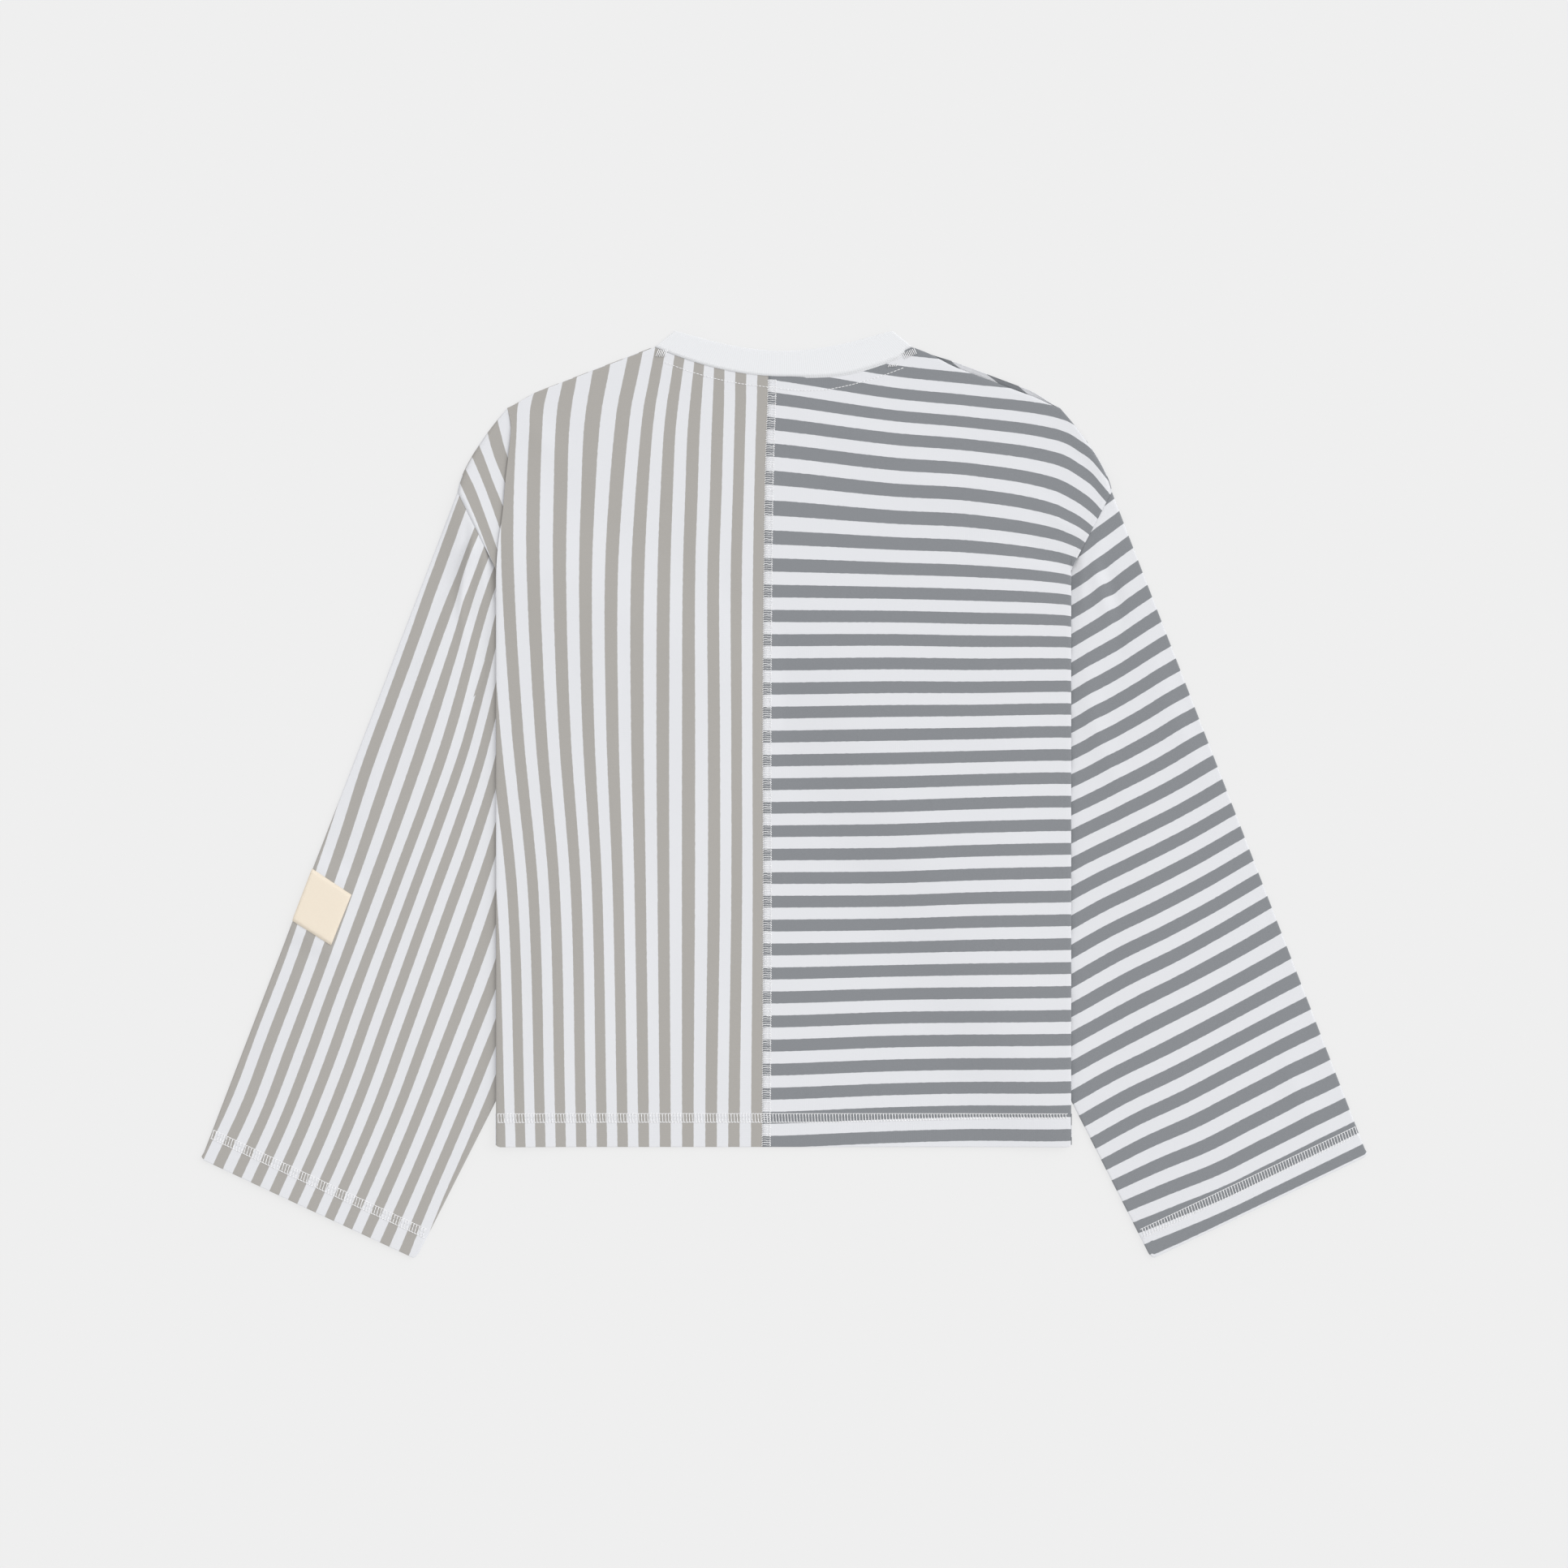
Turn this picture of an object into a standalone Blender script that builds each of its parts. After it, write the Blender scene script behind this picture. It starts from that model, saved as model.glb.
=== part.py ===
"""A long-sleeve t-shirt, laid flat on its front with the back up.

Metres, +Z up, the neck towards +Y and the right of the picture towards +X.
The origin is on the floor under the middle of it. Every piece of cloth is a
wall worked out from the sizes below: a panel is a grid laid on a height, a
sleeve is a flattened tube through sections from armhole to cuff, and the neck
rib is a flattened ring.
"""

import math

import bmesh
import bpy

MM = 0.001

# Cloth
CLOTH = 1.1 * MM              # jersey wall
RIB = 1.2 * MM                # neck rib, folded double
LABEL = 1.0 * MM              # woven patch
SEAM_GAP = 0.3 * MM           # between two pieces where they are sewn
LAY_GAP = 0.4 * MM            # between two layers that lie on each other

# The middle of the whole outline, which becomes the origin. The sizes in plan
# below are measured from a point beside it.
MIDDLE_X = 0.7 * MM
MIDDLE_Y = 1.05 * MM

# Body, in plan
HALF_CHEST = 240.7 * MM
HEM_UP = -295.1 * MM
CENTRE_SEAM = -15.3 * MM      # it lies a little to the left
NECK_HALF = 108.2 * MM        # half the width between the neck's shoulder ends
NECK_UP = 374.7 * MM
BACK_NECK_DROP = 24.5 * MM
BACK_NECK_CURVE = 1.95
FRONT_NECK_DROP = 104 * MM
SHOULDER_SLOPE = 0.38
SHOULDER_FALL = 4.0 * MM      # the shoulder's end drops off that slope
CORNER_OUT = 231.5 * MM       # where the shoulder turns down to the armhole
CORNER_UP = 323.7 * MM
CORNER_CURVE = 1.45
TIP_OUT = {-1: 273.0 * MM, 1: 274.8 * MM}     # top of the armhole seam
TIP_UP = 253.6 * MM
DIP_UP = 188.5 * MM           # where the armhole seam goes under the body
RIGHT_SEAM_DROP = 3.2 * MM    # the right shoulder seam lies below the edge,
FRONT_PEEK = 1.2 * MM         # because the front rolls over it by this much

# Sleeves, in plan
CUFF_OUT = {-1: 487.6 * MM, 1: 489.0 * MM}
CUFF_OUT_UP = {-1: -305.3 * MM, 1: -302.5 * MM}
CUFF_IN = 308.0 * MM
CUFF_IN_UP = -389.0 * MM
CUFF_ROUND = 2.5 * MM         # the cuff's corners are drawn in
UNDERARM_OUT = 67.7 * MM      # hidden under the body
UNDERARM_UP = 85.0 * MM
SLEEVE_PUFF = 1.2 * MM

# Heights. The body lies on both layers of each sleeve.
LIFT = 2 * CLOTH + LAY_GAP + 0.7 * MM
LIFT_MARGIN = 14 * MM
LIFT_RAMP = 75 * MM
BODY_PUFF = 1.3 * MM
TUCK_STEP = CLOTH + 0.5 * MM
TUCK_WALL = 0.3 * MM          # how far the tuck's edge leans

# Neck rib
RIB_WIDTH = 21.0 * MM
RIB_LEAN = 0.78
RIB_LEAN_CURVE = 1.25

# Label, as shares of the sleeve's length, and across it
LABEL_FROM = 0.565
LABEL_TO = 0.652
LABEL_ABOVE = 37.0 * MM
LABEL_BELOW = 24.0 * MM

COLOURS = {
    "beige_stripe": (0.62, 0.60, 0.57, 1.0),
    "grey_stripe": (0.50, 0.52, 0.55, 1.0),
    "white_rib": (0.84, 0.85, 0.87, 1.0),
    "cream_label": (0.86, 0.78, 0.66, 1.0),
}


def clear_scene():
    for obj in list(bpy.data.objects):
        bpy.data.objects.remove(obj, do_unlink=True)


def material(name):
    made = bpy.data.materials.get(name) or bpy.data.materials.new(name)
    made.use_nodes = True
    shader = made.node_tree.nodes["Principled BSDF"]
    shader.inputs["Base Color"].default_value = COLOURS[name]
    shader.inputs["Roughness"].default_value = 0.9
    shader.inputs["Metallic"].default_value = 0.0
    return made


def add_piece(collection, name, surface, finish, thickness, offset):
    """Makes an object of an open surface and gives it its wall."""
    bmesh.ops.translate(surface, verts=surface.verts, vec=(-MIDDLE_X, -MIDDLE_Y, 0))
    mesh = bpy.data.meshes.new(name)
    surface.to_mesh(mesh)
    surface.free()
    mesh.shade_smooth()
    mesh.materials.append(material(finish))
    piece = bpy.data.objects.new(name, mesh)
    collection.objects.link(piece)
    wall = piece.modifiers.new("Wall", "SOLIDIFY")
    wall.thickness = thickness
    wall.offset = offset
    return piece


def skin(surface, rows, closed=False, flipped=False):
    """Joins rows of points into an open surface, or a closed ring of one."""
    verts = [[surface.verts.new(point) for point in row] for row in rows]
    after = verts[1:] + (verts[:1] if closed else [])
    for first, second in zip(verts, after):
        for place in range(len(first) - 1):
            corners = [first[place], first[place + 1], second[place + 1], second[place]]
            surface.faces.new(reversed(corners) if flipped else corners)


def smooth(value):
    """0 below 0, 1 above 1, and an even rise between."""
    value = min(1.0, max(0.0, value))
    return value * value * (3 - 2 * value)


def mix(start, end, share):
    return start + (end - start) * share


# ---------------------------------------------------------------- sleeves

def armhole_bend(side):
    """Where along its chord the armhole seam bends most, and by how much."""
    chord_x = UNDERARM_OUT - TIP_OUT[side]
    chord_y = UNDERARM_UP - TIP_UP
    dip_x = HALF_CHEST - TIP_OUT[side]
    dip_y = DIP_UP - TIP_UP
    length = math.hypot(chord_x, chord_y)
    share = (dip_x * chord_x + dip_y * chord_y) / length ** 2
    depth = (dip_x * chord_y - dip_y * chord_x) / length
    return share, abs(depth)


def sleeve_plan(side, along, across):
    """A place on the flat sleeve in plan, and the sleeve's width there."""
    outer_x = mix(TIP_OUT[side], CUFF_OUT[side], along)
    outer_y = mix(TIP_UP, CUFF_OUT_UP[side], along)
    chord_x = mix(UNDERARM_OUT, CUFF_IN, along) - outer_x
    chord_y = mix(UNDERARM_UP, CUFF_IN_UP, along) - outer_y
    width = math.hypot(chord_x, chord_y)
    bend_at, bend = armhole_bend(side)
    if across < bend_at:
        bend *= max(0.0, across) / bend_at
    else:
        bend *= 1 - smooth((across - bend_at) / (1 - bend_at))
    bend *= 1 - smooth(along / 0.45)
    x = outer_x + chord_x * across - bend * chord_y / width
    y = outer_y + chord_y * across + bend * chord_x / width
    return side * x, y, width


def label_room(side, along, across):
    """The left sleeve lies on its label's lower half."""
    if side > 0:
        return 0.0
    lengthwise = smooth((along - LABEL_FROM + 0.035) / 0.03) * smooth((LABEL_TO + 0.035 - along) / 0.03)
    return (LABEL + LAY_GAP) * lengthwise * (1 - smooth((across - 0.14) / 0.1))


def seam_rise(side, x, y):
    """How far the sleeve's upper layer rises to meet the back panel's edge."""
    return body_lift(side, x, y) * smooth((abs(x) - HALF_CHEST - 3 * MM) / (18 * MM))


def sleeve_gap(side, along, across):
    """Height from the lower layer to the upper one, wall middle to wall middle."""
    x, y, _ = sleeve_plan(side, along, across)
    clear_of_body = smooth((abs(x) - HALF_CHEST - 12 * MM) / (60 * MM))
    middle = math.sin(math.pi * min(1.0, max(0.0, across)))
    near_seam = 1 - smooth(along / 0.1)
    puff = SLEEVE_PUFF * clear_of_body * middle * (1 - near_seam)
    return CLOTH + LAY_GAP + puff + seam_rise(side, x, y) * near_seam


def sleeve_point(side, along, where, out=0.0):
    """A point on the middle of the sleeve's wall, or moved out from it.

    where is ("lower" or "upper", share across) on a layer, or ("outer" or
    "inner", degrees) on the fold at that edge, from -90 below to 90 above.
    """
    layer, value = where
    across = {"outer": 0.0, "inner": 1.0}.get(layer, value)
    gap = sleeve_gap(side, along, across)
    height = CLOTH / 2 + label_room(side, along, across)
    if layer == "lower":
        height -= out
    elif layer == "upper":
        height += gap + out
    else:
        turn = math.radians(value)
        inward = gap / 2 - (gap / 2 + out) * math.cos(turn)
        share = inward / sleeve_plan(side, along, 0)[2]
        across = 1 - share if layer == "inner" else share
        height += gap / 2 + (gap / 2 + out) * math.sin(turn)
    x, y, _ = sleeve_plan(side, along, across)
    return x, y, height


SLEEVE_ALONG = (
    0, 0.03, 0.07, 0.12, 0.19, 0.27, 0.36, 0.45, 0.53, LABEL_FROM,
    LABEL_TO, 0.69, 0.77, 0.86, 0.95, 1,
)
SLEEVE_ACROSS = (0.05, 0.13, 0.25, 0.38, 0.54, 0.70, 0.85, 0.95)
FOLD_TURNS = (-90, -45, 0, 45, 90)


def sleeve_section():
    """The places round one section, starting under the outer fold."""
    section = [("outer", turn) for turn in FOLD_TURNS]
    section += [("upper", across) for across in SLEEVE_ACROSS]
    section += [("inner", turn) for turn in reversed(FOLD_TURNS)]
    section += [("lower", across) for across in reversed(SLEEVE_ACROSS)]
    return section


def make_sleeve(collection, side, name, finish):
    """A flattened tube, open at the cuff and at the armhole."""
    section = sleeve_section()
    rings = []
    for along in SLEEVE_ALONG:
        ring = [sleeve_point(side, along, where) for where in section]
        if along == 0:
            ring = [(x + side * SEAM_GAP, y - SEAM_GAP, z) for x, y, z in ring]
        if along == 1:
            ring = [(x, y + cuff_corner(side, x), z) for x, y, z in ring]
        rings.append(ring + ring[:1])
    tube = bmesh.new()
    skin(tube, rings, flipped=side > 0)
    bmesh.ops.remove_doubles(tube, verts=tube.verts, dist=0.02 * MM)
    return add_piece(collection, name, tube, finish, CLOTH, 0.0)


def cuff_corner(side, x):
    near = min(abs(abs(x) - CUFF_OUT[side]), abs(abs(x) - CUFF_IN))
    return CUFF_ROUND * (1 - smooth(near / (2 * CUFF_ROUND)))


def make_label(collection):
    """The patch is the left sleeve's own points, moved out past its wall."""
    out = CLOTH / 2 + LAY_GAP + LABEL / 2
    rows = []
    for step in range(5):
        along = mix(LABEL_FROM, LABEL_TO, step / 4)
        width = sleeve_plan(-1, along, 0)[2]
        places = [("lower", LABEL_BELOW / width * share) for share in (1, 0.5, 0.15)]
        places += [("outer", turn) for turn in (-90, -60, -30, 0, 30, 60, 90)]
        places += [("upper", LABEL_ABOVE / width * share) for share in (0.2, 0.6, 1)]
        rows.append([sleeve_point(-1, along, place, out) for place in places])
    patch = bmesh.new()
    skin(patch, rows)
    return add_piece(collection, "sleeve_label", patch, "cream_label", LABEL, 0.0)


# ------------------------------------------------------------------- body

def body_lift(side, x, y):
    """Height of what one side of the body lies on: the floor or a sleeve."""
    seam_x = HALF_CHEST - UNDERARM_OUT
    seam_y = DIP_UP - UNDERARM_UP
    edge_x = CUFF_IN - UNDERARM_OUT
    edge_y = CUFF_IN_UP - UNDERARM_UP
    out = side * x - UNDERARM_OUT
    up = y - UNDERARM_UP
    past_seam = (up * seam_x - out * seam_y) / math.hypot(seam_x, seam_y)
    past_edge = (out * edge_y - up * edge_x) / math.hypot(edge_x, edge_y)
    away = math.hypot(max(past_seam, 0.0), max(past_edge, 0.0))
    return LIFT * (1 - smooth((away - LIFT_MARGIN) / LIFT_RAMP))


def body_puff(x, y):
    """The air between front and back, most in the middle and none at the edges."""
    across = smooth((HALF_CHEST - abs(x)) / (70 * MM))
    up = smooth((y - HEM_UP) / (90 * MM)) * smooth((NECK_UP - 20 * MM - y) / (120 * MM))
    return BODY_PUFF * across * up


def neck_up(out, is_front):
    """The neck seam, as far out as its shoulder ends."""
    share = min(1.0, out / NECK_HALF)
    if is_front:
        return NECK_UP - FRONT_NECK_DROP * math.sqrt(1 - share ** 2)
    return NECK_UP - BACK_NECK_DROP * (1 - share ** BACK_NECK_CURVE)


def shoulder_up(side, out, is_front):
    line = NECK_UP - SHOULDER_SLOPE * (out - NECK_HALF)
    line -= SHOULDER_FALL * smooth((out - 205 * MM) / (27 * MM))
    if side < 0:
        return line
    rolled = smooth((out - 118 * MM) / (28 * MM)) * smooth((CORNER_OUT + 8 * MM - out) / (40 * MM))
    return line + (FRONT_PEEK if is_front else -RIGHT_SEAM_DROP) * rolled


def top_up(side, out, is_front):
    """The panel's top edge: its neck curve, then its shoulder."""
    if out <= NECK_HALF:
        return neck_up(out, is_front) - SEAM_GAP / 2
    return shoulder_up(side, out, is_front) - SEAM_GAP / 2


# The line that parts a main panel from its armhole corner. On the left it is
# the tuck's edge.
CORNER_LINE = (
    {"up": DIP_UP, "left": 240.7 * MM, "right": 240.7 * MM},
    {"up": 262 * MM, "left": 232.9 * MM, "right": 240.0 * MM},
    {"up": 306 * MM, "left": 228.3 * MM, "right": 237.0 * MM},
    {"up": CORNER_UP, "left": CORNER_OUT, "right": CORNER_OUT},
)

HEM_ROWS = (0, 9, 26)
CORNER_ROWS = (208, 230, 253.6, 272, 290, 305, 317.5, 323.7)
BODY_ROWS = 13
CORNER_COLUMNS = 3
NECK_COLUMNS = (56, 76.5, 93.7, 104.5, 107.3, 108.2)
SHOULDER_COLUMNS = (130, 152, 174, 196, 215)


def row_levels():
    """How far up each row of a panel lies at its side edge."""
    levels = [HEM_UP + rise * MM for rise in HEM_ROWS]
    levels += [mix(levels[-1], DIP_UP, step / BODY_ROWS) for step in range(1, BODY_ROWS + 1)]
    return levels + [up * MM for up in CORNER_ROWS]


def panel_columns(side, gap=SEAM_GAP / 2):
    """How far out each column of a panel lies, from the centre seam."""
    start = side * CENTRE_SEAM + gap
    middle = mix(start, NECK_COLUMNS[0] * MM, 0.5)
    return [start, middle] + [out * MM for out in NECK_COLUMNS + SHOULDER_COLUMNS]


def corner_line(side, up):
    """How far out the corner line lies at a level."""
    name = "left" if side < 0 else "right"
    if up <= DIP_UP:
        return HALF_CHEST
    for first, second in zip(CORNER_LINE, CORNER_LINE[1:]):
        if up <= second["up"]:
            return mix(first[name], second[name], (up - first["up"]) / (second["up"] - first["up"]))
    return CORNER_LINE[-1][name]


def corner_edge(side, up):
    """The armhole corner's outer edge: the armhole seam, then the shoulder."""
    if up <= DIP_UP or up >= CORNER_UP - 0.01 * MM:
        return corner_line(side, up)
    if up <= TIP_UP:
        return mix(HALF_CHEST, TIP_OUT[side], (up - DIP_UP) / (TIP_UP - DIP_UP)) - SEAM_GAP / 2
    fallen = (CORNER_UP - up) / (CORNER_UP - TIP_UP)
    return mix(CORNER_OUT, TIP_OUT[side], 1 - (1 - fallen) ** CORNER_CURVE)


def panel_height(side, is_front, on_tuck, x, y):
    """Height of the panel's upper face. on_tuck is 1 on the tuck's top."""
    lift = max(body_lift(-1, x, y), body_lift(1, x, y))
    if is_front:
        rolled = 0.0
        if side > 0 and abs(x) > NECK_HALF:
            past_seam = y - shoulder_up(side, abs(x), False)
            rolled = smooth(past_seam / (RIGHT_SEAM_DROP + FRONT_PEEK))
        return lift + CLOTH + (CLOTH + LAY_GAP) * rolled
    near = 1 - smooth((HALF_CHEST - abs(x)) / (60 * MM))
    lengthwise = smooth((y - DIP_UP + 40 * MM) / (40 * MM)) * smooth((CORNER_UP + 2 * MM - y) / (30 * MM))
    step = TUCK_STEP * near * lengthwise * on_tuck
    return lift + CLOTH + LAY_GAP + CLOTH + body_puff(x, y) + step


def make_panel(collection, side, is_front, name, finish):
    """Half of the front or the back, as a grid laid on its height.

    The grid's last columns fill the armhole corner above the dip, and close
    up to nothing below it. The left back has its corner line twice: once on
    the tuck's top and once on the cloth beside it.
    """
    columns = panel_columns(side)
    levels = row_levels()
    is_tucked = side < 0 and not is_front
    corner_shares = [step / CORNER_COLUMNS for step in range(CORNER_COLUMNS + 1)]
    if is_tucked:
        corner_shares.insert(0, 0.0)
    wide = len(columns) + len(corner_shares)
    sheet = bmesh.new()
    bmesh.ops.create_grid(sheet, x_segments=wide - 1, y_segments=len(levels) - 1, size=1)
    for index, vert in enumerate(sheet.verts):
        row, column = divmod(index, wide)
        level = levels[row]
        corner = column - len(columns)
        if corner < 0:
            x = side * columns[column]
            top = top_up(side, abs(x), is_front)
            y = mix(HEM_UP, top, (level - HEM_UP) / (CORNER_UP - HEM_UP))
            if is_front and side > 0 and row == len(levels) - 2 and abs(x) > NECK_HALF - MM:
                # The front rolls up only past the back panel's edge.
                y = min(top - MM, top_up(side, abs(x), False) + 0.5 * MM)
        else:
            x = side * mix(corner_line(side, level), corner_edge(side, level), corner_shares[corner])
            y = level
        beside_tuck = is_tucked and corner >= 1
        if beside_tuck and corner == 1 and DIP_UP < level < CORNER_UP:
            x += side * TUCK_WALL
        on_tuck = 1 if is_tucked and not beside_tuck else 0
        vert.co = (x, y, panel_height(side, is_front, on_tuck, x, y))
    if side < 0:
        bmesh.ops.reverse_faces(sheet, faces=sheet.faces)
    bmesh.ops.remove_doubles(sheet, verts=sheet.verts, dist=0.05 * MM)
    return add_piece(collection, name, sheet, finish, CLOTH, -1.0)


# --------------------------------------------------------------- neck rib

def rib_strip(x, is_front, height, past=0.0):
    """Three points across the rib, from its seam edge to its free edge.

    past moves a shoulder end's strip off the panels' edges.
    """
    share = abs(x) / NECK_HALF
    lean = RIB_LEAN * share ** RIB_LEAN_CURVE
    if is_front:
        lean = mix(RIB_LEAN, share, smooth((1 - share) * 8))
    seam_x = x * (1 - SEAM_GAP / NECK_HALF)
    seam_y = neck_up(abs(x), is_front) + SEAM_GAP / 2 + past
    free_x = seam_x - math.copysign(RIB_WIDTH * lean, x)
    free_y = seam_y + RIB_WIDTH * math.sqrt(1 - lean ** 2)
    return [(mix(seam_x, free_x, part), mix(seam_y, free_y, part), height) for part in (0, 0.5, 1)]


def make_rib(collection):
    """A flattened ring: its back over its front, folded at the shoulders."""
    low = RIB / 2
    high = low + RIB + 0.7 * MM
    left = [-out for out in reversed(panel_columns(-1, 0.0)) if out <= NECK_HALF + MM]
    right = [out for out in panel_columns(1, 0.0)[1:] if out <= NECK_HALF + MM]
    inner = (left + right)[1:-1]
    fold = (low + high) / 2
    rows = [rib_strip(-NECK_HALF, False, fold, 0.5 * MM)]
    rows += [rib_strip(x, False, high) for x in inner]
    rows += [rib_strip(NECK_HALF, False, fold, 0.5 * MM)]
    rows += [rib_strip(NECK_HALF, True, low, -0.3 * MM)]
    rows += [rib_strip(x, True, low) for x in reversed(inner)]
    rows += [rib_strip(-NECK_HALF, True, low, -0.3 * MM)]
    ring = bmesh.new()
    skin(ring, rows, closed=True, flipped=True)
    return add_piece(collection, "neck_rib", ring, "white_rib", RIB, 0.0)


def main():
    clear_scene()
    shirt = bpy.data.collections.new("long_sleeve_t_shirt")
    bpy.context.scene.collection.children.link(shirt)
    make_panel(shirt, -1, True, "front_left", "beige_stripe")
    make_panel(shirt, 1, True, "front_right", "grey_stripe")
    make_panel(shirt, -1, False, "back_left", "beige_stripe")
    make_panel(shirt, 1, False, "back_right", "grey_stripe")
    make_sleeve(shirt, -1, "sleeve_left", "beige_stripe")
    make_sleeve(shirt, 1, "sleeve_right", "grey_stripe")
    make_rib(shirt)
    make_label(shirt)


main()
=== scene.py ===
"""Cloth, seams and studio for a long-sleeve t-shirt laid flat with its back up.

Plan positions are in millimetres, measured from a point beside the middle of
the shirt, and shifted and scaled to the frame when a mesh is made. +X is the
right of the picture, +Y is towards the neck, and Z is the height above the
surface that the shirt lies on.
"""

import math

import bmesh
import bpy
import numpy as np
from mathutils import Matrix, Vector


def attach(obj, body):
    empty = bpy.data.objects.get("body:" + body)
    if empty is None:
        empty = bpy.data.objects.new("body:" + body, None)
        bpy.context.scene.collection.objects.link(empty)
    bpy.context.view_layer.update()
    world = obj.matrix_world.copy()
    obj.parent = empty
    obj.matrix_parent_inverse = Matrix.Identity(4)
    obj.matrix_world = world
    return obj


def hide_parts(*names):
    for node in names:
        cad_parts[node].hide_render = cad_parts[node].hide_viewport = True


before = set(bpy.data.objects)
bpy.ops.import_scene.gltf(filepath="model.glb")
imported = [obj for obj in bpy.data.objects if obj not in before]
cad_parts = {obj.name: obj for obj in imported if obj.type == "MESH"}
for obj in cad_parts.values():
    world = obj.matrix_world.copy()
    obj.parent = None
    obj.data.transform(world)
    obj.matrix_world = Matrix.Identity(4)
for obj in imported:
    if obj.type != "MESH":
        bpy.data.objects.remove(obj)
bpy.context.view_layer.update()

bl_info = {
    "name": "Striped Long-Sleeve Shirt",
    "version": (1, 0, 0),
    "blender": (4, 5, 0),
    "location": "3D View > Sidebar > Shirt",
    "description": "Makes the cloth, stitches and studio of a shirt laid flat",
    "category": "Object",
}

MM = 0.001
MIDDLE_X = 0.7
MIDDLE_Y = 1.05

# Body, in plan
HALF_CHEST = 240.7
HEM_UP = -295.1
NECK_HALF = 108.2
NECK_UP = 374.7
BACK_NECK_DROP = 24.5
BACK_NECK_CURVE = 1.95
FRONT_NECK_DROP = 104.0
SHOULDER_SLOPE = 0.38
SHOULDER_FALL = 4.0
CORNER_OUT = 231.5
CORNER_UP = 323.7
CORNER_CURVE = 1.45
TIP_OUT = {-1: 273.0, 1: 274.8}
TIP_UP = 253.6
DIP_UP = 188.5

# The right shoulder seam lies this far below the shoulder's line, and the
# front behind it reaches this far above.
RIGHT_SEAM_DROP = 3.2
FRONT_PEEK = 1.2

# The line between a panel and its armhole corner: how far out it lies, by
# height. On the left it is the edge of the tuck.
CORNER_LINE_FROM = DIP_UP - 60
CORNER_LINE_UP = (CORNER_LINE_FROM, DIP_UP, 213, 236, 262, 285, 306, 317, CORNER_UP)
CORNER_LINE_OUT = {
    -1: (240.7, 240.3, 238.3, 235.0, 232.9, 230.3, 228.3, 229.8, CORNER_OUT),
    1: (240.7, 240.7, 240.6, 240.5, 240.0, 239.0, 237.0, 234.6, CORNER_OUT),
}

# Sleeves, in plan
CUFF_OUT = {-1: 487.6, 1: 489.0}
CUFF_OUT_UP = {-1: -305.3, 1: -302.5}
CUFF_IN = 308.0
CUFF_IN_UP = -389.0
CUFF_ROUND = 3.5
UNDERARM_OUT = 67.7
UNDERARM_UP = 85.0
SLEEVE_LENGTH = 608.0

# Rounded widths, for the spacing of grid lines and of the knit
PANEL_WIDTH = 256.0
SLEEVE_WIDTH = 235.0
CUFF_WIDTH = 200.0

# Heights. WALL is the room that the frame gives one layer of cloth.
WALL = 1.1
LAY_GAP = 0.4
STACK = 2 * WALL + LAY_GAP
LIFT = STACK + 0.7
LIFT_MARGIN = 14.0
LIFT_RAMP = 75.0
BODY_PUFF = 1.3
SLEEVE_PUFF = 1.2
TUCK_STEP = 1.6
EDGE_ROLL = STACK / 2
TURNED_LAYER = 1.0
FOLD_ROUND = 0.5
SEAM_RIDGE = 0.4
LABEL_ROOM = 1.4
THREAD_RISE = 0.12
UNDER_RISE = 0.03

# Extra grid lines stand this far from a cut edge.
EDGE_GAPS = (0.12, 0.35, 0.7, 1.3)

# Neckband
RIB_WIDTH = 21.4
RIB_FOLD = 0.6
RIB_STACK = STACK + 0.5
RIB_LEAN = 0.78
RIB_LEAN_CURVE = 1.25
RIB_LAP = 4.2

# Label, as shares of the sleeve's length and distances from its outer edge
LABEL_FROM = 0.565
LABEL_TO = 0.643
LABEL_SKEW = 0.008
LABEL_LENGTH = 48.0
LABEL_ABOVE = 39.0
LABEL_BELOW = 24.0
LABEL_WALL = 0.6

# Stitch bands
HEM_STITCHES_UP = (20.8, 28.0)
RIGHT_STITCHES_UP = (24.4, 28.0)
CUFF_STITCHES_UP = (19.3, 26.6)
SEAM_BAND = 6.9
SEAM_PITCH = 1.9
NECK_STITCHES_DOWN = 9.0
RIGHT_STITCHES_DOWN = 14.0
NECK_STITCH_PITCH = 2.9
NECK_STITCH_GAP = 0.8

# Where the neck's overlock comes out at each shoulder. "step" leads from loop
# to loop and "lean" from a loop's foot to its head.
OVERLOCK_ENDS = (
    {"x": -107.0, "y": 366.9, "loops": 6, "step": (1.45, -0.1), "lean": (2.4, 5.6)},
    {"x": 99.6, "y": 369.6, "loops": 8, "step": (1.35, 0.55), "lean": (2.2, -4.4)},
    {"x": 87.5, "y": 358.0, "loops": 5, "step": (1.6, 0.1), "lean": (1.2, 2.2)},
)

SIDE_NAMES = {-1: "left", 1: "right"}

# Jersey's look, in millimetres where it is a length
STRIPE_WIDTH = 9.8
STRIPE_SHARPNESS = 10.0
STRIPE_WANDER = 0.06
RIB_COURSE = 0.9
LABEL_YARN = 0.7

# Studio. Its lengths are in metres, and VIEW_MIDDLE is in plan.
FLOOR_REACH = 40.0
FLOOR_DROP = 0.0005
FLOOR_GLOW = 0.8
FLOOR_LIGHT = 0.86
ROOM_LIGHT = 0.76
VIEW_WIDTH = 1.3138
VIEW_MIDDLE = (0.34, 8.84)
LAMPS = (
    {"name": "key_light", "place": (1.25, 0.75, 1.0), "power": 1.5, "spread": 56},
    {"name": "fill_light", "place": (-1.5, -0.4, 1.8), "power": 0.3, "spread": 80},
)


# ------------------------------------------------------------ curves and sums

def smooth(value):
    """0 below 0, 1 above 1, and an even rise between."""
    value = np.clip(value, 0.0, 1.0)
    return value * value * (3 - 2 * value)


def mix(start, end, share):
    """The value that lies this share of the way from start to end."""
    return start + (end - start) * share


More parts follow.
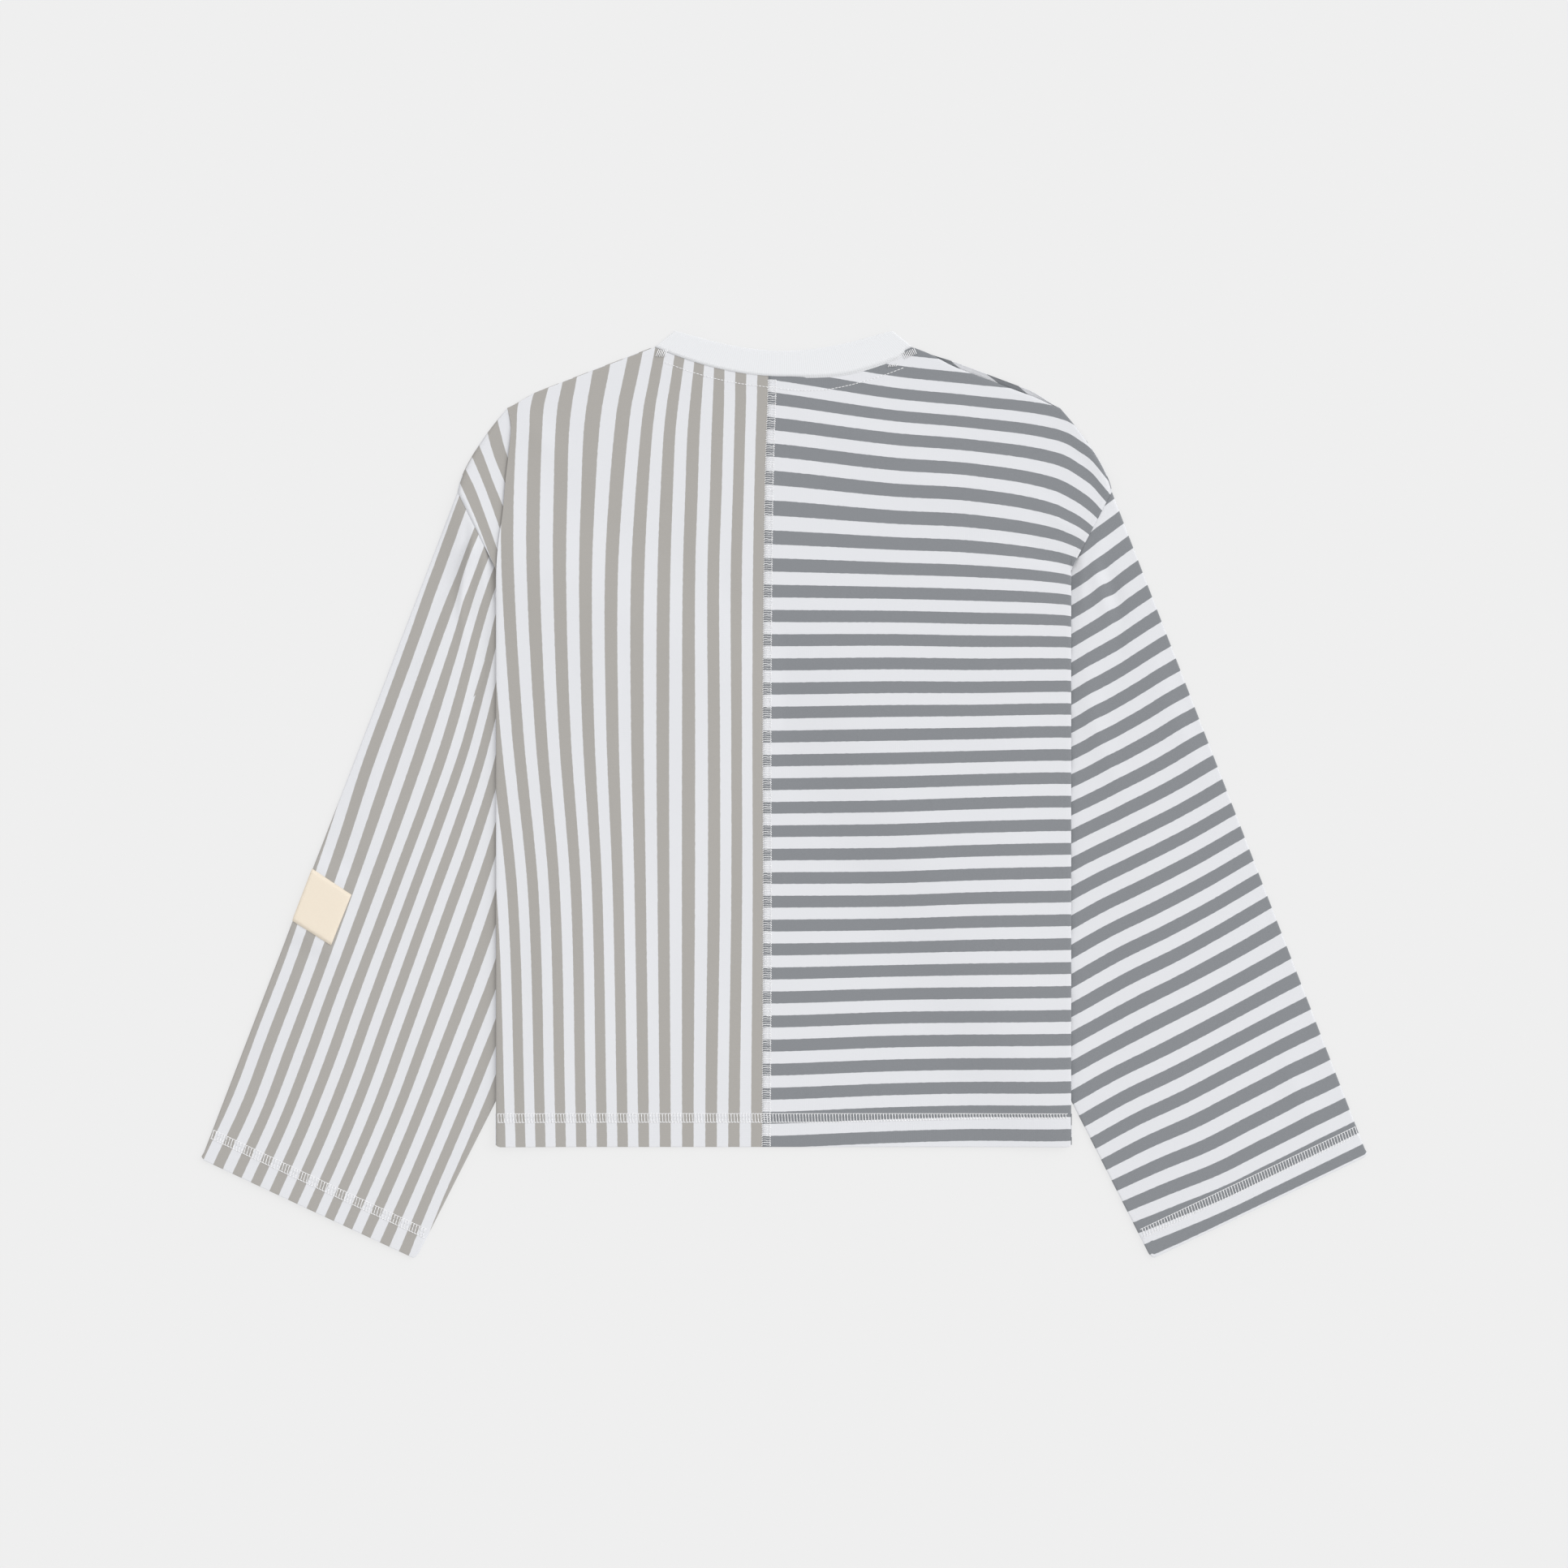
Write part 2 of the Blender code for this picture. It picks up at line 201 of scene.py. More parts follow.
def flow(at, knots, values):
    """The smooth line through (knot, value) pairs, straight beyond its ends."""
    at = np.asarray(at, float)
    steps = [(values[i + 1] - values[i]) / (knots[i + 1] - knots[i]) for i in range(len(knots) - 1)]
    slopes = [steps[0]] + [(a + b) / 2 for a, b in zip(steps, steps[1:])] + [steps[-1]]
    line = values[0] + slopes[0] * (at - knots[0])
    for i in range(len(knots) - 1):
        width = knots[i + 1] - knots[i]
        t = np.clip((at - knots[i]) / width, 0.0, 1.0)
        piece = (
            values[i] * (1 + 2 * t) * (1 - t) ** 2 + values[i + 1] * (3 - 2 * t) * t ** 2
            + width * t * (1 - t) * (slopes[i] * (1 - t) - slopes[i + 1] * t)
        )
        line = np.where(at >= knots[i], piece, line)
    beyond = values[-1] + slopes[-1] * (at - knots[-1])
    return np.where(at > knots[-1], beyond, line)


def stripe_number(guides, at, place):
    """Counts half stripes up to a place, where guides give their edges.

    A row's "at" says where along the stripes it lies, and its "edges" where
    the edges with the guides' "numbers" lie there.
    """
    knots = [row["at"] for row in guides["rows"]]
    edges = [flow(at, knots, line) for line in zip(*(row["edges"] for row in guides["rows"]))]
    return flow(place, edges, guides["numbers"])


# Edges of the left body's stripes: how far each lies left of the middle, by
# height. Cloth is beige from each even number to the next odd one.
LEFT_BODY_STRIPES = {
    "numbers": (0, 4, 8, 12, 16, 20, 24),
    "rows": (
        {"at": -296, "edges": (17.8, 55.9, 94.4, 130.3, 165.0, 199.2, 232.5)},
        {"at": -259, "edges": (17.6, 55.7, 94.6, 130.9, 165.6, 200.0, 233.5)},
        {"at": -82, "edges": (16.9, 53.2, 95.5, 133.9, 169.0, 205.0, 240.2)},
        {"at": 54, "edges": (17.2, 53.2, 95.7, 138.0, 178.2, 217.8, 256.0)},
        {"at": 190, "edges": (16.3, 53.8, 94.7, 138.4, 181.9, 225.6, 266.0)},
        {"at": 258, "edges": (15.4, 51.7, 92.5, 134.3, 180.9, 225.6, 266.0)},
        {"at": 305, "edges": (14.1, 50.5, 90.4, 129.9, 179.5, 223.5, 264.0)},
        {"at": 326, "edges": (13.3, 49.9, 88.3, 127.3, 177.3, 222.4, 262.0)},
        {"at": 346, "edges": (12.9, 49.6, 85.6, 123.1, 173.7, 216.0, 256.0)},
    ),
}

# The cloth beside the left tuck is turned, so its stripes slant.
TUCKED_STRIPES = {
    "numbers": (0, 1, 2, 3, 4, 5),
    "rows": (
        {"at": 203, "edges": (194.1, 206.4, 217.9, 230.2, 238.7, 247.0)},
        {"at": 231, "edges": (207.7, 219.3, 230.2, 240.4, 248.8, 257.7)},
        {"at": 258, "edges": (220.7, 231.9, 241.7, 250.3, 259.1, 269.6)},
        {"at": 285, "edges": (231.9, 243.0, 251.9, 261.8, 272.7, 282.4)},
        {"at": 312, "edges": (239.2, 250.2, 263.5, 273.7, 283.9, 292.7)},
    ),
}

# Edges of the right body's stripes: how high each lies, by distance right of
# the middle. Cloth is grey from each even number to the next odd one.
RIGHT_BODY_STRIPES = {
    "numbers": (1, 11, 21, 31, 41, 47, 51, 55, 59, 63),
    "rows": (
        {"at": -20, "edges": (-286.0, -185.0, -84.8, 13.4, 114.0, 175.8, 221.6, 272.0, 317.0, 359.0)},
        {"at": 0, "edges": (-285.5, -184.8, -84.7, 13.7, 114.0, 175.5, 220.7, 270.4, 314.8, 356.0)},
        {"at": 91.5, "edges": (-281.7, -181.9, -84.0, 15.2, 114.6, 173.7, 215.6, 260.5, 302.9, 340.9)},
        {"at": 159.5, "edges": (-280.0, -180.9, -81.7, 17.1, 113.8, 171.8, 212.4, 256.0, 297.1, 334.0)},
        {"at": 227.5, "edges": (-280.1, -180.3, -80.4, 18.6, 114.0, 168.4, 203.5, 243.2, 286.8, 325.3)},
        {"at": 238.3, "edges": (-279.8, -180.1, -80.2, 18.5, 113.8, 167.0, 200.6, 238.0, 282.8, 321.8)},
        {"at": 247.9, "edges": (-279.6, -180.0, -80.0, 18.4, 112.0, 164.0, 196.5, 232.6, 276.8, 316.0)},
        {"at": 258.1, "edges": (-279.4, -179.9, -79.9, 18.3, 108.0, 158.0, 189.0, 224.6, 269.3, 308.0)},
        {"at": 266.9, "edges": (-279.2, -179.8, -79.8, 18.2, 104.0, 151.0, 181.0, 216.0, 258.8, 297.0)},
        {"at": 277.5, "edges": (-279.0, -179.7, -79.7, 18.1, 99.0, 143.0, 171.0, 205.0, 246.0, 283.0)},
    ),
}

# The front's stripes along the right shoulder, where it shows past the back
PEEK_STRIPES_OUT = (121.0, 149.3, 180.5, 206.0, 235.0)
PEEK_STRIPE_NUMBERS = (64.0, 65.0, 66.0, 67.0, 67.9)
PEEK_STRIPE_LEAN = 0.08

# Elsewhere the front's stripes don't meet those of the back.
FRONT_STRIPE_SHIFT = 0.7

# Edges of the left sleeve's stripes, as shares of its width, by share of its
# length. The outermost stripe only comes round the edge half way down.
LEFT_SLEEVE_STRIPES = {
    "numbers": (2, 3, 4, 5, 8, 12, 16, 20, 24),
    "rows": (
        {"at": -0.04, "edges": (0.010, 0.045, 0.100, 0.121, 0.206, 0.320, 0.44, 0.56, 0.68)},
        {"at": 0.1, "edges": (0.015, 0.053, 0.096, 0.126, 0.209, 0.330, 0.45, 0.58, 0.71)},
        {"at": 0.15, "edges": (0.017, 0.055, 0.096, 0.132, 0.220, 0.347, 0.47, 0.60, 0.73)},
        {"at": 0.2, "edges": (0.021, 0.060, 0.099, 0.136, 0.236, 0.365, 0.49, 0.62, 0.75)},
        {"at": 0.3, "edges": (0.026, 0.066, 0.106, 0.145, 0.263, 0.401, 0.535, 0.67, 0.81)},
        {"at": 0.4, "edges": (0.031, 0.074, 0.116, 0.157, 0.278, 0.421, 0.567, 0.715, 0.865)},
        {"at": 0.5, "edges": (0.047, 0.088, 0.129, 0.169, 0.288, 0.435, 0.589, 0.753, 0.91)},
        {"at": 0.7, "edges": (0.067, 0.108, 0.149, 0.188, 0.307, 0.467, 0.628, 0.794, 0.956)},
        {"at": 0.8, "edges": (0.069, 0.112, 0.154, 0.196, 0.320, 0.485, 0.647, 0.811, 0.973)},
        {"at": 0.9, "edges": (0.073, 0.117, 0.160, 0.201, 0.325, 0.493, 0.657, 0.824, 0.988)},
        {"at": 1.0, "edges": (0.055, 0.100, 0.145, 0.188, 0.318, 0.491, 0.661, 0.832, 1.012)},
    ),
}

# Edges of the right sleeve's stripes, as shares of its length from the
# armhole, by share of its width. Their numbers rise towards the cuff.
RIGHT_SLEEVE_STRIPES = {
    "numbers": (-50, -40, -30, -20, -10, 0, 1),
    "rows": (
        {"at": 0.0, "edges": (0.066, 0.251, 0.433, 0.609, 0.798, 0.982, 0.9965)},
        {"at": 0.2, "edges": (0.062, 0.243, 0.426, 0.607, 0.795, 0.982, 0.9965)},
        {"at": 0.4, "edges": (0.048, 0.232, 0.415, 0.602, 0.793, 0.982, 0.9965)},
        {"at": 0.6, "edges": (0.031, 0.216, 0.403, 0.594, 0.791, 0.982, 0.9965)},
        {"at": 0.8, "edges": (0.021, 0.206, 0.396, 0.590, 0.786, 0.979, 0.9965)},
        {"at": 1.0, "edges": (0.012, 0.198, 0.390, 0.585, 0.786, 0.974, 0.995)},
    ),
}

# Soft creases raised or pressed in the cloth, in plan. "turn" is the angle of
# its length from +X, and CREASE_DEPTH times "high" is its height.
CREASE_DEPTH = 2.0
BACK_CREASES = (
    {"x": 262, "y": 262, "turn": 118, "long": 60, "wide": 7, "high": -0.5},
    {"x": 236, "y": 226, "turn": 148, "long": 70, "wide": 6, "high": 0.4},
    {"x": 214, "y": 205, "turn": 155, "long": 90, "wide": 9, "high": -0.45},
    {"x": 150, "y": 255, "turn": 172, "long": 120, "wide": 14, "high": 0.35},
    {"x": 60, "y": 300, "turn": 165, "long": 110, "wide": 11, "high": 0.3},
    {"x": 120, "y": 60, "turn": 4, "long": 170, "wide": 16, "high": 0.35},
    {"x": 40, "y": -60, "turn": 176, "long": 120, "wide": 12, "high": -0.3},
    {"x": 190, "y": -170, "turn": 8, "long": 100, "wide": 13, "high": 0.35},
    {"x": -70, "y": 205, "turn": 96, "long": 150, "wide": 12, "high": 0.35},
    {"x": -150, "y": 110, "turn": 84, "long": 190, "wide": 16, "high": 0.4},
    {"x": -118, "y": -40, "turn": 91, "long": 160, "wide": 13, "high": -0.35},
    {"x": -200, "y": -120, "turn": 82, "long": 130, "wide": 12, "high": 0.35},
    {"x": -60, "y": -190, "turn": 94, "long": 120, "wide": 14, "high": 0.3},
    {"x": -205, "y": 300, "turn": 128, "long": 60, "wide": 9, "high": 0.35},
)
FRONT_CREASES = (
    {"x": -40, "y": 180, "turn": 28, "long": 120, "wide": 12, "high": 0.4},
    {"x": 52, "y": 96, "turn": 158, "long": 160, "wide": 15, "high": -0.35},
    {"x": -22, "y": -60, "turn": 80, "long": 140, "wide": 13, "high": 0.4},
    {"x": 70, "y": -190, "turn": 112, "long": 90, "wide": 10, "high": -0.3},
    {"x": -95, "y": -230, "turn": 60, "long": 80, "wide": 12, "high": 0.35},
)
SLEEVE_CREASES = {
    -1: (
        {"x": -269.4, "y": 200, "turn": 71, "long": 86, "wide": 3.2, "high": -0.85},
        {"x": -262.4, "y": 200, "turn": 71, "long": 86, "wide": 3.8, "high": 2.4},
        {"x": -250.5, "y": 108, "turn": 76, "long": 90, "wide": 4.5, "high": -0.8},
        {"x": -287, "y": 130, "turn": 66, "long": 130, "wide": 8, "high": 0.55},
        {"x": -262, "y": 70, "turn": 74, "long": 160, "wide": 9, "high": -0.6},
        {"x": -340, "y": 20, "turn": 68, "long": 120, "wide": 12, "high": 0.4},
        {"x": -372, "y": -170, "turn": 58, "long": 110, "wide": 13, "high": 0.4},
        {"x": -330, "y": -250, "turn": 66, "long": 120, "wide": 12, "high": -0.35},
    ),
    1: (
        {"x": 263, "y": 186, "turn": 100, "long": 90, "wide": 7, "high": 0.7},
        {"x": 276, "y": 168, "turn": 106, "long": 100, "wide": 7, "high": -0.6},
        {"x": 258, "y": 70, "turn": 100, "long": 120, "wide": 9, "high": 0.5},
        {"x": 330, "y": 60, "turn": 118, "long": 130, "wide": 14, "high": 0.4},
        {"x": 382, "y": -110, "turn": 34, "long": 110, "wide": 12, "high": 0.4},
        {"x": 330, "y": -210, "turn": 22, "long": 110, "wide": 13, "high": -0.35},
        {"x": 430, "y": -250, "turn": 112, "long": 80, "wide": 12, "high": 0.35},
    ),
}


def relief(creases, x, y):
    """Height that the creases add at a place in plan."""
    total = 0.0 * x
    for crease in creases:
        turn = math.radians(crease["turn"])
        right, up = x - crease["x"], y - crease["y"]
        along = right * math.cos(turn) + up * math.sin(turn)
        across = up * math.cos(turn) - right * math.sin(turn)
        bow = across + along ** 2 / (3.0 * crease["long"]) * (1 if crease["high"] > 0 else -1)
        fade = np.exp(-(2.0 * along / crease["long"]) ** 2)
        total = total + crease["high"] * fade * np.exp(-(bow / crease["wide"]) ** 2)
    return total * CREASE_DEPTH


# -------------------------------------------------------------------- sleeves

def armhole_bend(side):
    """Where along its chord the armhole seam bends most, and by how much."""
    chord_x, chord_y = UNDERARM_OUT - TIP_OUT[side], UNDERARM_UP - TIP_UP
    dip_x, dip_y = HALF_CHEST - TIP_OUT[side], DIP_UP - TIP_UP
    length = math.hypot(chord_x, chord_y)
    share = (dip_x * chord_x + dip_y * chord_y) / length ** 2
    return share, abs(dip_x * chord_y - dip_y * chord_x) / length


def sleeve_plan(side, along, across):
    """A place on the flat sleeve in plan, and the sleeve's width there."""
    outer_x = mix(TIP_OUT[side], CUFF_OUT[side], along)
    outer_y = mix(TIP_UP, CUFF_OUT_UP[side], along)
    chord_x = mix(UNDERARM_OUT, CUFF_IN, along) - outer_x
    chord_y = mix(UNDERARM_UP, CUFF_IN_UP, along) - outer_y
    width = np.hypot(chord_x, chord_y)
    bend_at, bend = armhole_bend(side)
    inner = 1 - smooth((across - bend_at) / (1 - bend_at))
    share = np.where(across < bend_at, np.maximum(across, 0) / bend_at, inner)
    bend = bend * share * (1 - smooth(along / 0.45))
    x = outer_x + chord_x * across - bend * chord_y / width
    y = outer_y + chord_y * across + bend * chord_x / width
    return side * x, y, width


def sleeve_shares(side, x, y):
    """The shares of the sleeve's length and width at a place in plan."""
    def cross(a, b):
        return a[0] * b[1] - a[1] * b[0]

    start = (TIP_OUT[side] - side * x, TIP_UP - y)
    outer = (CUFF_OUT[side] - TIP_OUT[side], CUFF_OUT_UP[side] - TIP_UP)
    chord = (UNDERARM_OUT - TIP_OUT[side], UNDERARM_UP - TIP_UP)
    inner = (CUFF_IN - UNDERARM_OUT, CUFF_IN_UP - UNDERARM_UP)
    spread = (inner[0] - outer[0], inner[1] - outer[1])
    square = cross(outer, spread)
    line = cross(start, spread) + cross(outer, chord)
    rest = cross(start, chord)
    root = np.sqrt(np.maximum(line ** 2 - 4 * square * rest, 0.0))
    along = -2 * rest / (line + np.sign(line) * root)
    chord_x, chord_y = chord[0] + along * spread[0], chord[1] + along * spread[1]
    out_x, out_y = -(start[0] + along * outer[0]), -(start[1] + along * outer[1])
    across = (out_x * chord_x + out_y * chord_y) / (chord_x ** 2 + chord_y ** 2)
    return along, across


def body_lift(side, x, y):
    """Height of what one side of the body lies on: the floor or a sleeve."""
    seam_x, seam_y = HALF_CHEST - UNDERARM_OUT, DIP_UP - UNDERARM_UP
    edge_x, edge_y = CUFF_IN - UNDERARM_OUT, CUFF_IN_UP - UNDERARM_UP
    out, up = side * x - UNDERARM_OUT, y - UNDERARM_UP
    past_seam = (up * seam_x - out * seam_y) / math.hypot(seam_x, seam_y)
    past_edge = (out * edge_y - up * edge_x) / math.hypot(edge_x, edge_y)
    away = np.hypot(np.maximum(past_seam, 0), np.maximum(past_edge, 0))
    return LIFT * (1 - smooth((away - LIFT_MARGIN) / LIFT_RAMP))


def label_room(side, along, across):
    """The left sleeve lies on its label's lower half."""
    if side > 0:
        return 0.0 * along
    lengthwise = smooth((along - LABEL_FROM + 0.035) / 0.03) * smooth((LABEL_TO + 0.035 - along) / 0.03)
    return LABEL_ROOM * lengthwise * (1 - smooth((across - 0.14) / 0.1))


def sleeve_height(side, along, across):
    """Height between the outsides of the sleeve's two layers."""
    x, y, _ = sleeve_plan(side, along, across)
    clear = smooth((np.abs(x) - HALF_CHEST - 12) / 60)
    middle = np.sin(np.pi * np.clip(across, 0, 1))
    near_seam = 1 - smooth(along / 0.1)
    rise = body_lift(side, x, y) * smooth((np.abs(x) - HALF_CHEST - 1) / 10)
    puff = SLEEVE_PUFF * clear * middle * (1 - near_seam)
    pressed = smooth((np.abs(x) - HALF_CHEST + 4) / 14) * smooth(across * 12) * smooth((1 - across) * 12)
    creased = relief(SLEEVE_CREASES[side], x, y) * pressed * smooth(along / 0.03)
    return STACK + puff + rise * near_seam + creased


def sleeve_point(side, along, where, out=0.0):
    """A point on the outside of the sleeve, or moved out from it.

    where is (layer, value): a share across for "upper" and "lower", degrees
    round the fold for "outer" and "inner", from -90 below to 90 above.
    """
    layer, value = where
    across = {"outer": 0.0, "inner": 1.0}.get(layer, value) + 0.0 * along
    high = sleeve_height(side, along, across)
    base = label_room(side, along, across)
    if layer == "lower":
        z = base - out
    elif layer == "upper":
        z = base + high + out
    else:
        turn = math.radians(value)
        inward = high / 2 - (high / 2 + out) * math.cos(turn)
        share = inward / sleeve_plan(side, along, 0.0 * along)[2]
        across = 1 - share if layer == "inner" else share
        z = base + high / 2 + (high / 2 + out) * math.sin(turn)
    x, y, _ = sleeve_plan(side, along, across)
    return x, y, z, across


def cuff_corner(side, x):
    """The cuff's corners are drawn in by the turned hem."""
    near = np.minimum(np.abs(np.abs(x) - CUFF_OUT[side]), np.abs(np.abs(x) - CUFF_IN))
    return CUFF_ROUND * 0.55 * (1 - smooth(near / CUFF_ROUND)) ** 2


def sleeve_stripe(side, x, y, layer):
    """The stripe number and the distance along the stripe."""
    along, share = sleeve_shares(side, x, y)
    if side > 0:
        number = stripe_number(RIGHT_SLEEVE_STRIPES, share, along)
        number = number + 0.08 * relief(SLEEVE_CREASES[side], x, y)
        return number, share * CUFF_WIDTH
    number = stripe_number(LEFT_SLEEVE_STRIPES, along, share) + 0.05 * relief(SLEEVE_CREASES[side], x, y)
    if layer == "lower":
        at_edge = stripe_number(LEFT_SLEEVE_STRIPES, along, 0.0 * share)
        number = 2 * at_edge - number
    return number, along * SLEEVE_LENGTH


# ----------------------------------------------------------------------- body

def neck_up(out, is_front):
    """The neck seam, as far out as its shoulder ends."""
    share = np.minimum(1.0, out / NECK_HALF)
    if is_front:
        return NECK_UP - FRONT_NECK_DROP * np.sqrt(np.maximum(0.0, 1 - share ** 2))
    return NECK_UP - BACK_NECK_DROP * (1 - share ** BACK_NECK_CURVE)


def shoulder_up(side, out, is_front):
    """The shoulder's edge, from the neck to the armhole corner."""
    line = NECK_UP - SHOULDER_SLOPE * (out - NECK_HALF)
    line = line - SHOULDER_FALL * smooth((out - 205) / 27)
    if side < 0:
        return line
    rolled = smooth((out - 118) / 28) * smooth((CORNER_OUT + 8 - out) / 40)
    return line + (FRONT_PEEK if is_front else -RIGHT_SEAM_DROP) * rolled


def top_up(side, out, is_front):
    """The top edge of a panel, along the neck and the shoulder."""
    return np.where(out <= NECK_HALF, neck_up(out, is_front), shoulder_up(side, out, is_front))


def centre_seam(y):
    """The centre seam's place left or right of the middle, by height."""
    rows = LEFT_BODY_STRIPES["rows"]
    return -flow(y, [row["at"] for row in rows], [row["edges"][0] for row in rows])


def corner_line(side, up):
    """How far out the line lies that parts the panel from its armhole corner."""
    line = flow(up, CORNER_LINE_UP, CORNER_LINE_OUT[side])
    return np.where(up <= CORNER_LINE_FROM, HALF_CHEST, line)


def corner_edge(side, up):
    """The armhole corner's outer edge: the armhole seam, then the shoulder."""
    seam = mix(HALF_CHEST, TIP_OUT[side], (up - DIP_UP) / (TIP_UP - DIP_UP))
    fallen = np.clip((CORNER_UP - up) / (CORNER_UP - TIP_UP), 0, 1)
    shoulder = mix(CORNER_OUT, TIP_OUT[side], 1 - (1 - fallen) ** CORNER_CURVE)
    edge = np.where(up <= TIP_UP, seam, shoulder)
    return np.where(up <= DIP_UP, corner_line(side, up), edge)


def body_base(x, y):
    """Height of what the body lies on at any place."""
    return np.maximum(body_lift(-1, x, y), body_lift(1, x, y))


def back_height(x, y):
    """Height of the back's outer face, away from its edges."""
    across = smooth((HALF_CHEST - np.abs(x)) / 70)
    up = smooth((y - HEM_UP) / 90) * smooth((NECK_UP - 20 - y) / 120)
    flat = smooth((HALF_CHEST + 30 - np.abs(x)) / 26) * smooth((y - HEM_UP) / 20)
    return body_base(x, y) + STACK + BODY_PUFF * across * up + relief(BACK_CREASES, x, y) * flat


def tuck_height(x, y):
    """How much higher the cloth lies that folds over at the left armhole."""
    near = 1 - smooth((HALF_CHEST - np.abs(x)) / 60)
    lengthwise = smooth((y - DIP_UP + 40) / 40) * smooth((CORNER_UP + 2 - y) / 30)
    return TUCK_STEP * near * lengthwise


def front_height(side, x, y):
    """Height of the front's outer face, which is its underside."""
    rolled = 0.0
    if side > 0:
        past_seam = y - shoulder_up(side, np.abs(x), False)
        rolled = smooth(past_seam / (RIGHT_SEAM_DROP + FRONT_PEEK)) * (np.abs(x) > NECK_HALF)
    flat = smooth((HALF_CHEST - 60 - np.abs(x)) / 60)
    lifted = np.maximum(relief(FRONT_CREASES, x, y), 0) * flat
    return body_base(x, y) + lifted + (WALL + LAY_GAP) * rolled


def hem_turn(up):
    """How far the hem's edge has rounded at a height above its end."""
    inside = np.clip(FOLD_ROUND - up, 0, FOLD_ROUND)
    return FOLD_ROUND - np.sqrt(FOLD_ROUND ** 2 - inside ** 2)


def tuck_share(level):
    """The share of the tuck's full depth at a height on the left armhole."""
    return smooth((CORNER_UP - level) / 60) * smooth((level - DIP_UP + 25) / 30)


def roll(away):
    """How far an edge has turned in at a distance from its end."""
    inside = np.clip(EDGE_ROLL - away, 0, EDGE_ROLL)
    return EDGE_ROLL - np.sqrt(EDGE_ROLL ** 2 - inside ** 2)


def body_stripe(side, x, y):
    """The stripe number and the distance along the stripe."""
    if side < 0:
        return stripe_number(LEFT_BODY_STRIPES, y, -x), y
    return stripe_number(RIGHT_BODY_STRIPES, x, y), x


def panel_stripe(side, is_front, x, y, is_slanted):
    """The stripe number and the distance along the stripe on one panel."""
    number, grain = body_stripe(side, x, y)
    number = np.where(is_slanted, stripe_number(TUCKED_STRIPES, y, -x), number)
    if is_front:
        number = number + FRONT_STRIPE_SHIFT
    if is_front and side > 0:
        past_seam = y - shoulder_up(side, np.abs(x), False)
        peek = flow(x, PEEK_STRIPES_OUT, PEEK_STRIPE_NUMBERS) + PEEK_STRIPE_LEAN * past_seam
        number = mix(number, peek, smooth((past_seam + 6) / 4) * (x > NECK_HALF))
    return number, grain


# ------------------------------------------------------------ making the cloth

def finish_piece(name, shape, finish, replaced=()):
    """Turns a bmesh into a piece that rides with the shirt."""
    mesh = bpy.data.meshes.new(name)
    shape.to_mesh(mesh)
    shape.free()
    mesh.shade_smooth()
    mesh.materials.append(finish)
    piece = bpy.data.objects.new(name, mesh)
    bpy.context.scene.collection.objects.link(piece)
    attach(piece, "root")
    if replaced:
        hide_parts(*replaced)
    return piece


def lay_grid(x, y, z, number, grain, is_flipped=False):
    """A grid laid on the points, with its stripe numbers as a UV map."""
    rows, columns = x.shape
    cloth = bmesh.new()
    bmesh.ops.create_grid(cloth, x_segments=columns - 1, y_segments=rows - 1, size=1)
    points = np.stack([x - MIDDLE_X, y - MIDDLE_Y, z], -1).reshape(-1, 3) * MM
    for vert, point in zip(cloth.verts, points):
        vert.co = point
    cloth.verts.index_update()
    stripes = cloth.loops.layers.uv.new("stripes")
    pairs = np.stack([number, grain], -1).reshape(-1, 2)
    for face in cloth.faces:
        for loop in face.loops:
            loop[stripes].uv = pairs[loop.vert.index]
    if is_flipped:
        bmesh.ops.reverse_faces(cloth, faces=cloth.faces)
    bmesh.ops.remove_doubles(cloth, verts=cloth.verts, dist=0.02 * MM)
    bmesh.ops.dissolve_degenerate(cloth, edges=cloth.edges, dist=0.02 * MM)
    return cloth


def thicken(piece, thickness):
    """Gives a piece its wall, inwards from the outside."""
    wall = piece.modifiers.new("Wall", "SOLIDIFY")
    wall.thickness = thickness
    wall.offset = -1.0


def spaced(start, end, step, near_start=(), near_end=()):
    """Even steps, with extra places close to the ends."""
    first = start + (near_start[-1] if near_start else 0.0)
    last = end - (near_end[-1] if near_end else 0.0)
    count = max(2, int(round((last - first) / step)) + 1)
    inner = list(np.linspace(first, last, count))
    before = [start] + [start + gap for gap in near_start[:-1]] if near_start else []
    after = [end - gap for gap in reversed(near_end[:-1])] + [end] if near_end else []
    return np.array(before + inner + after)


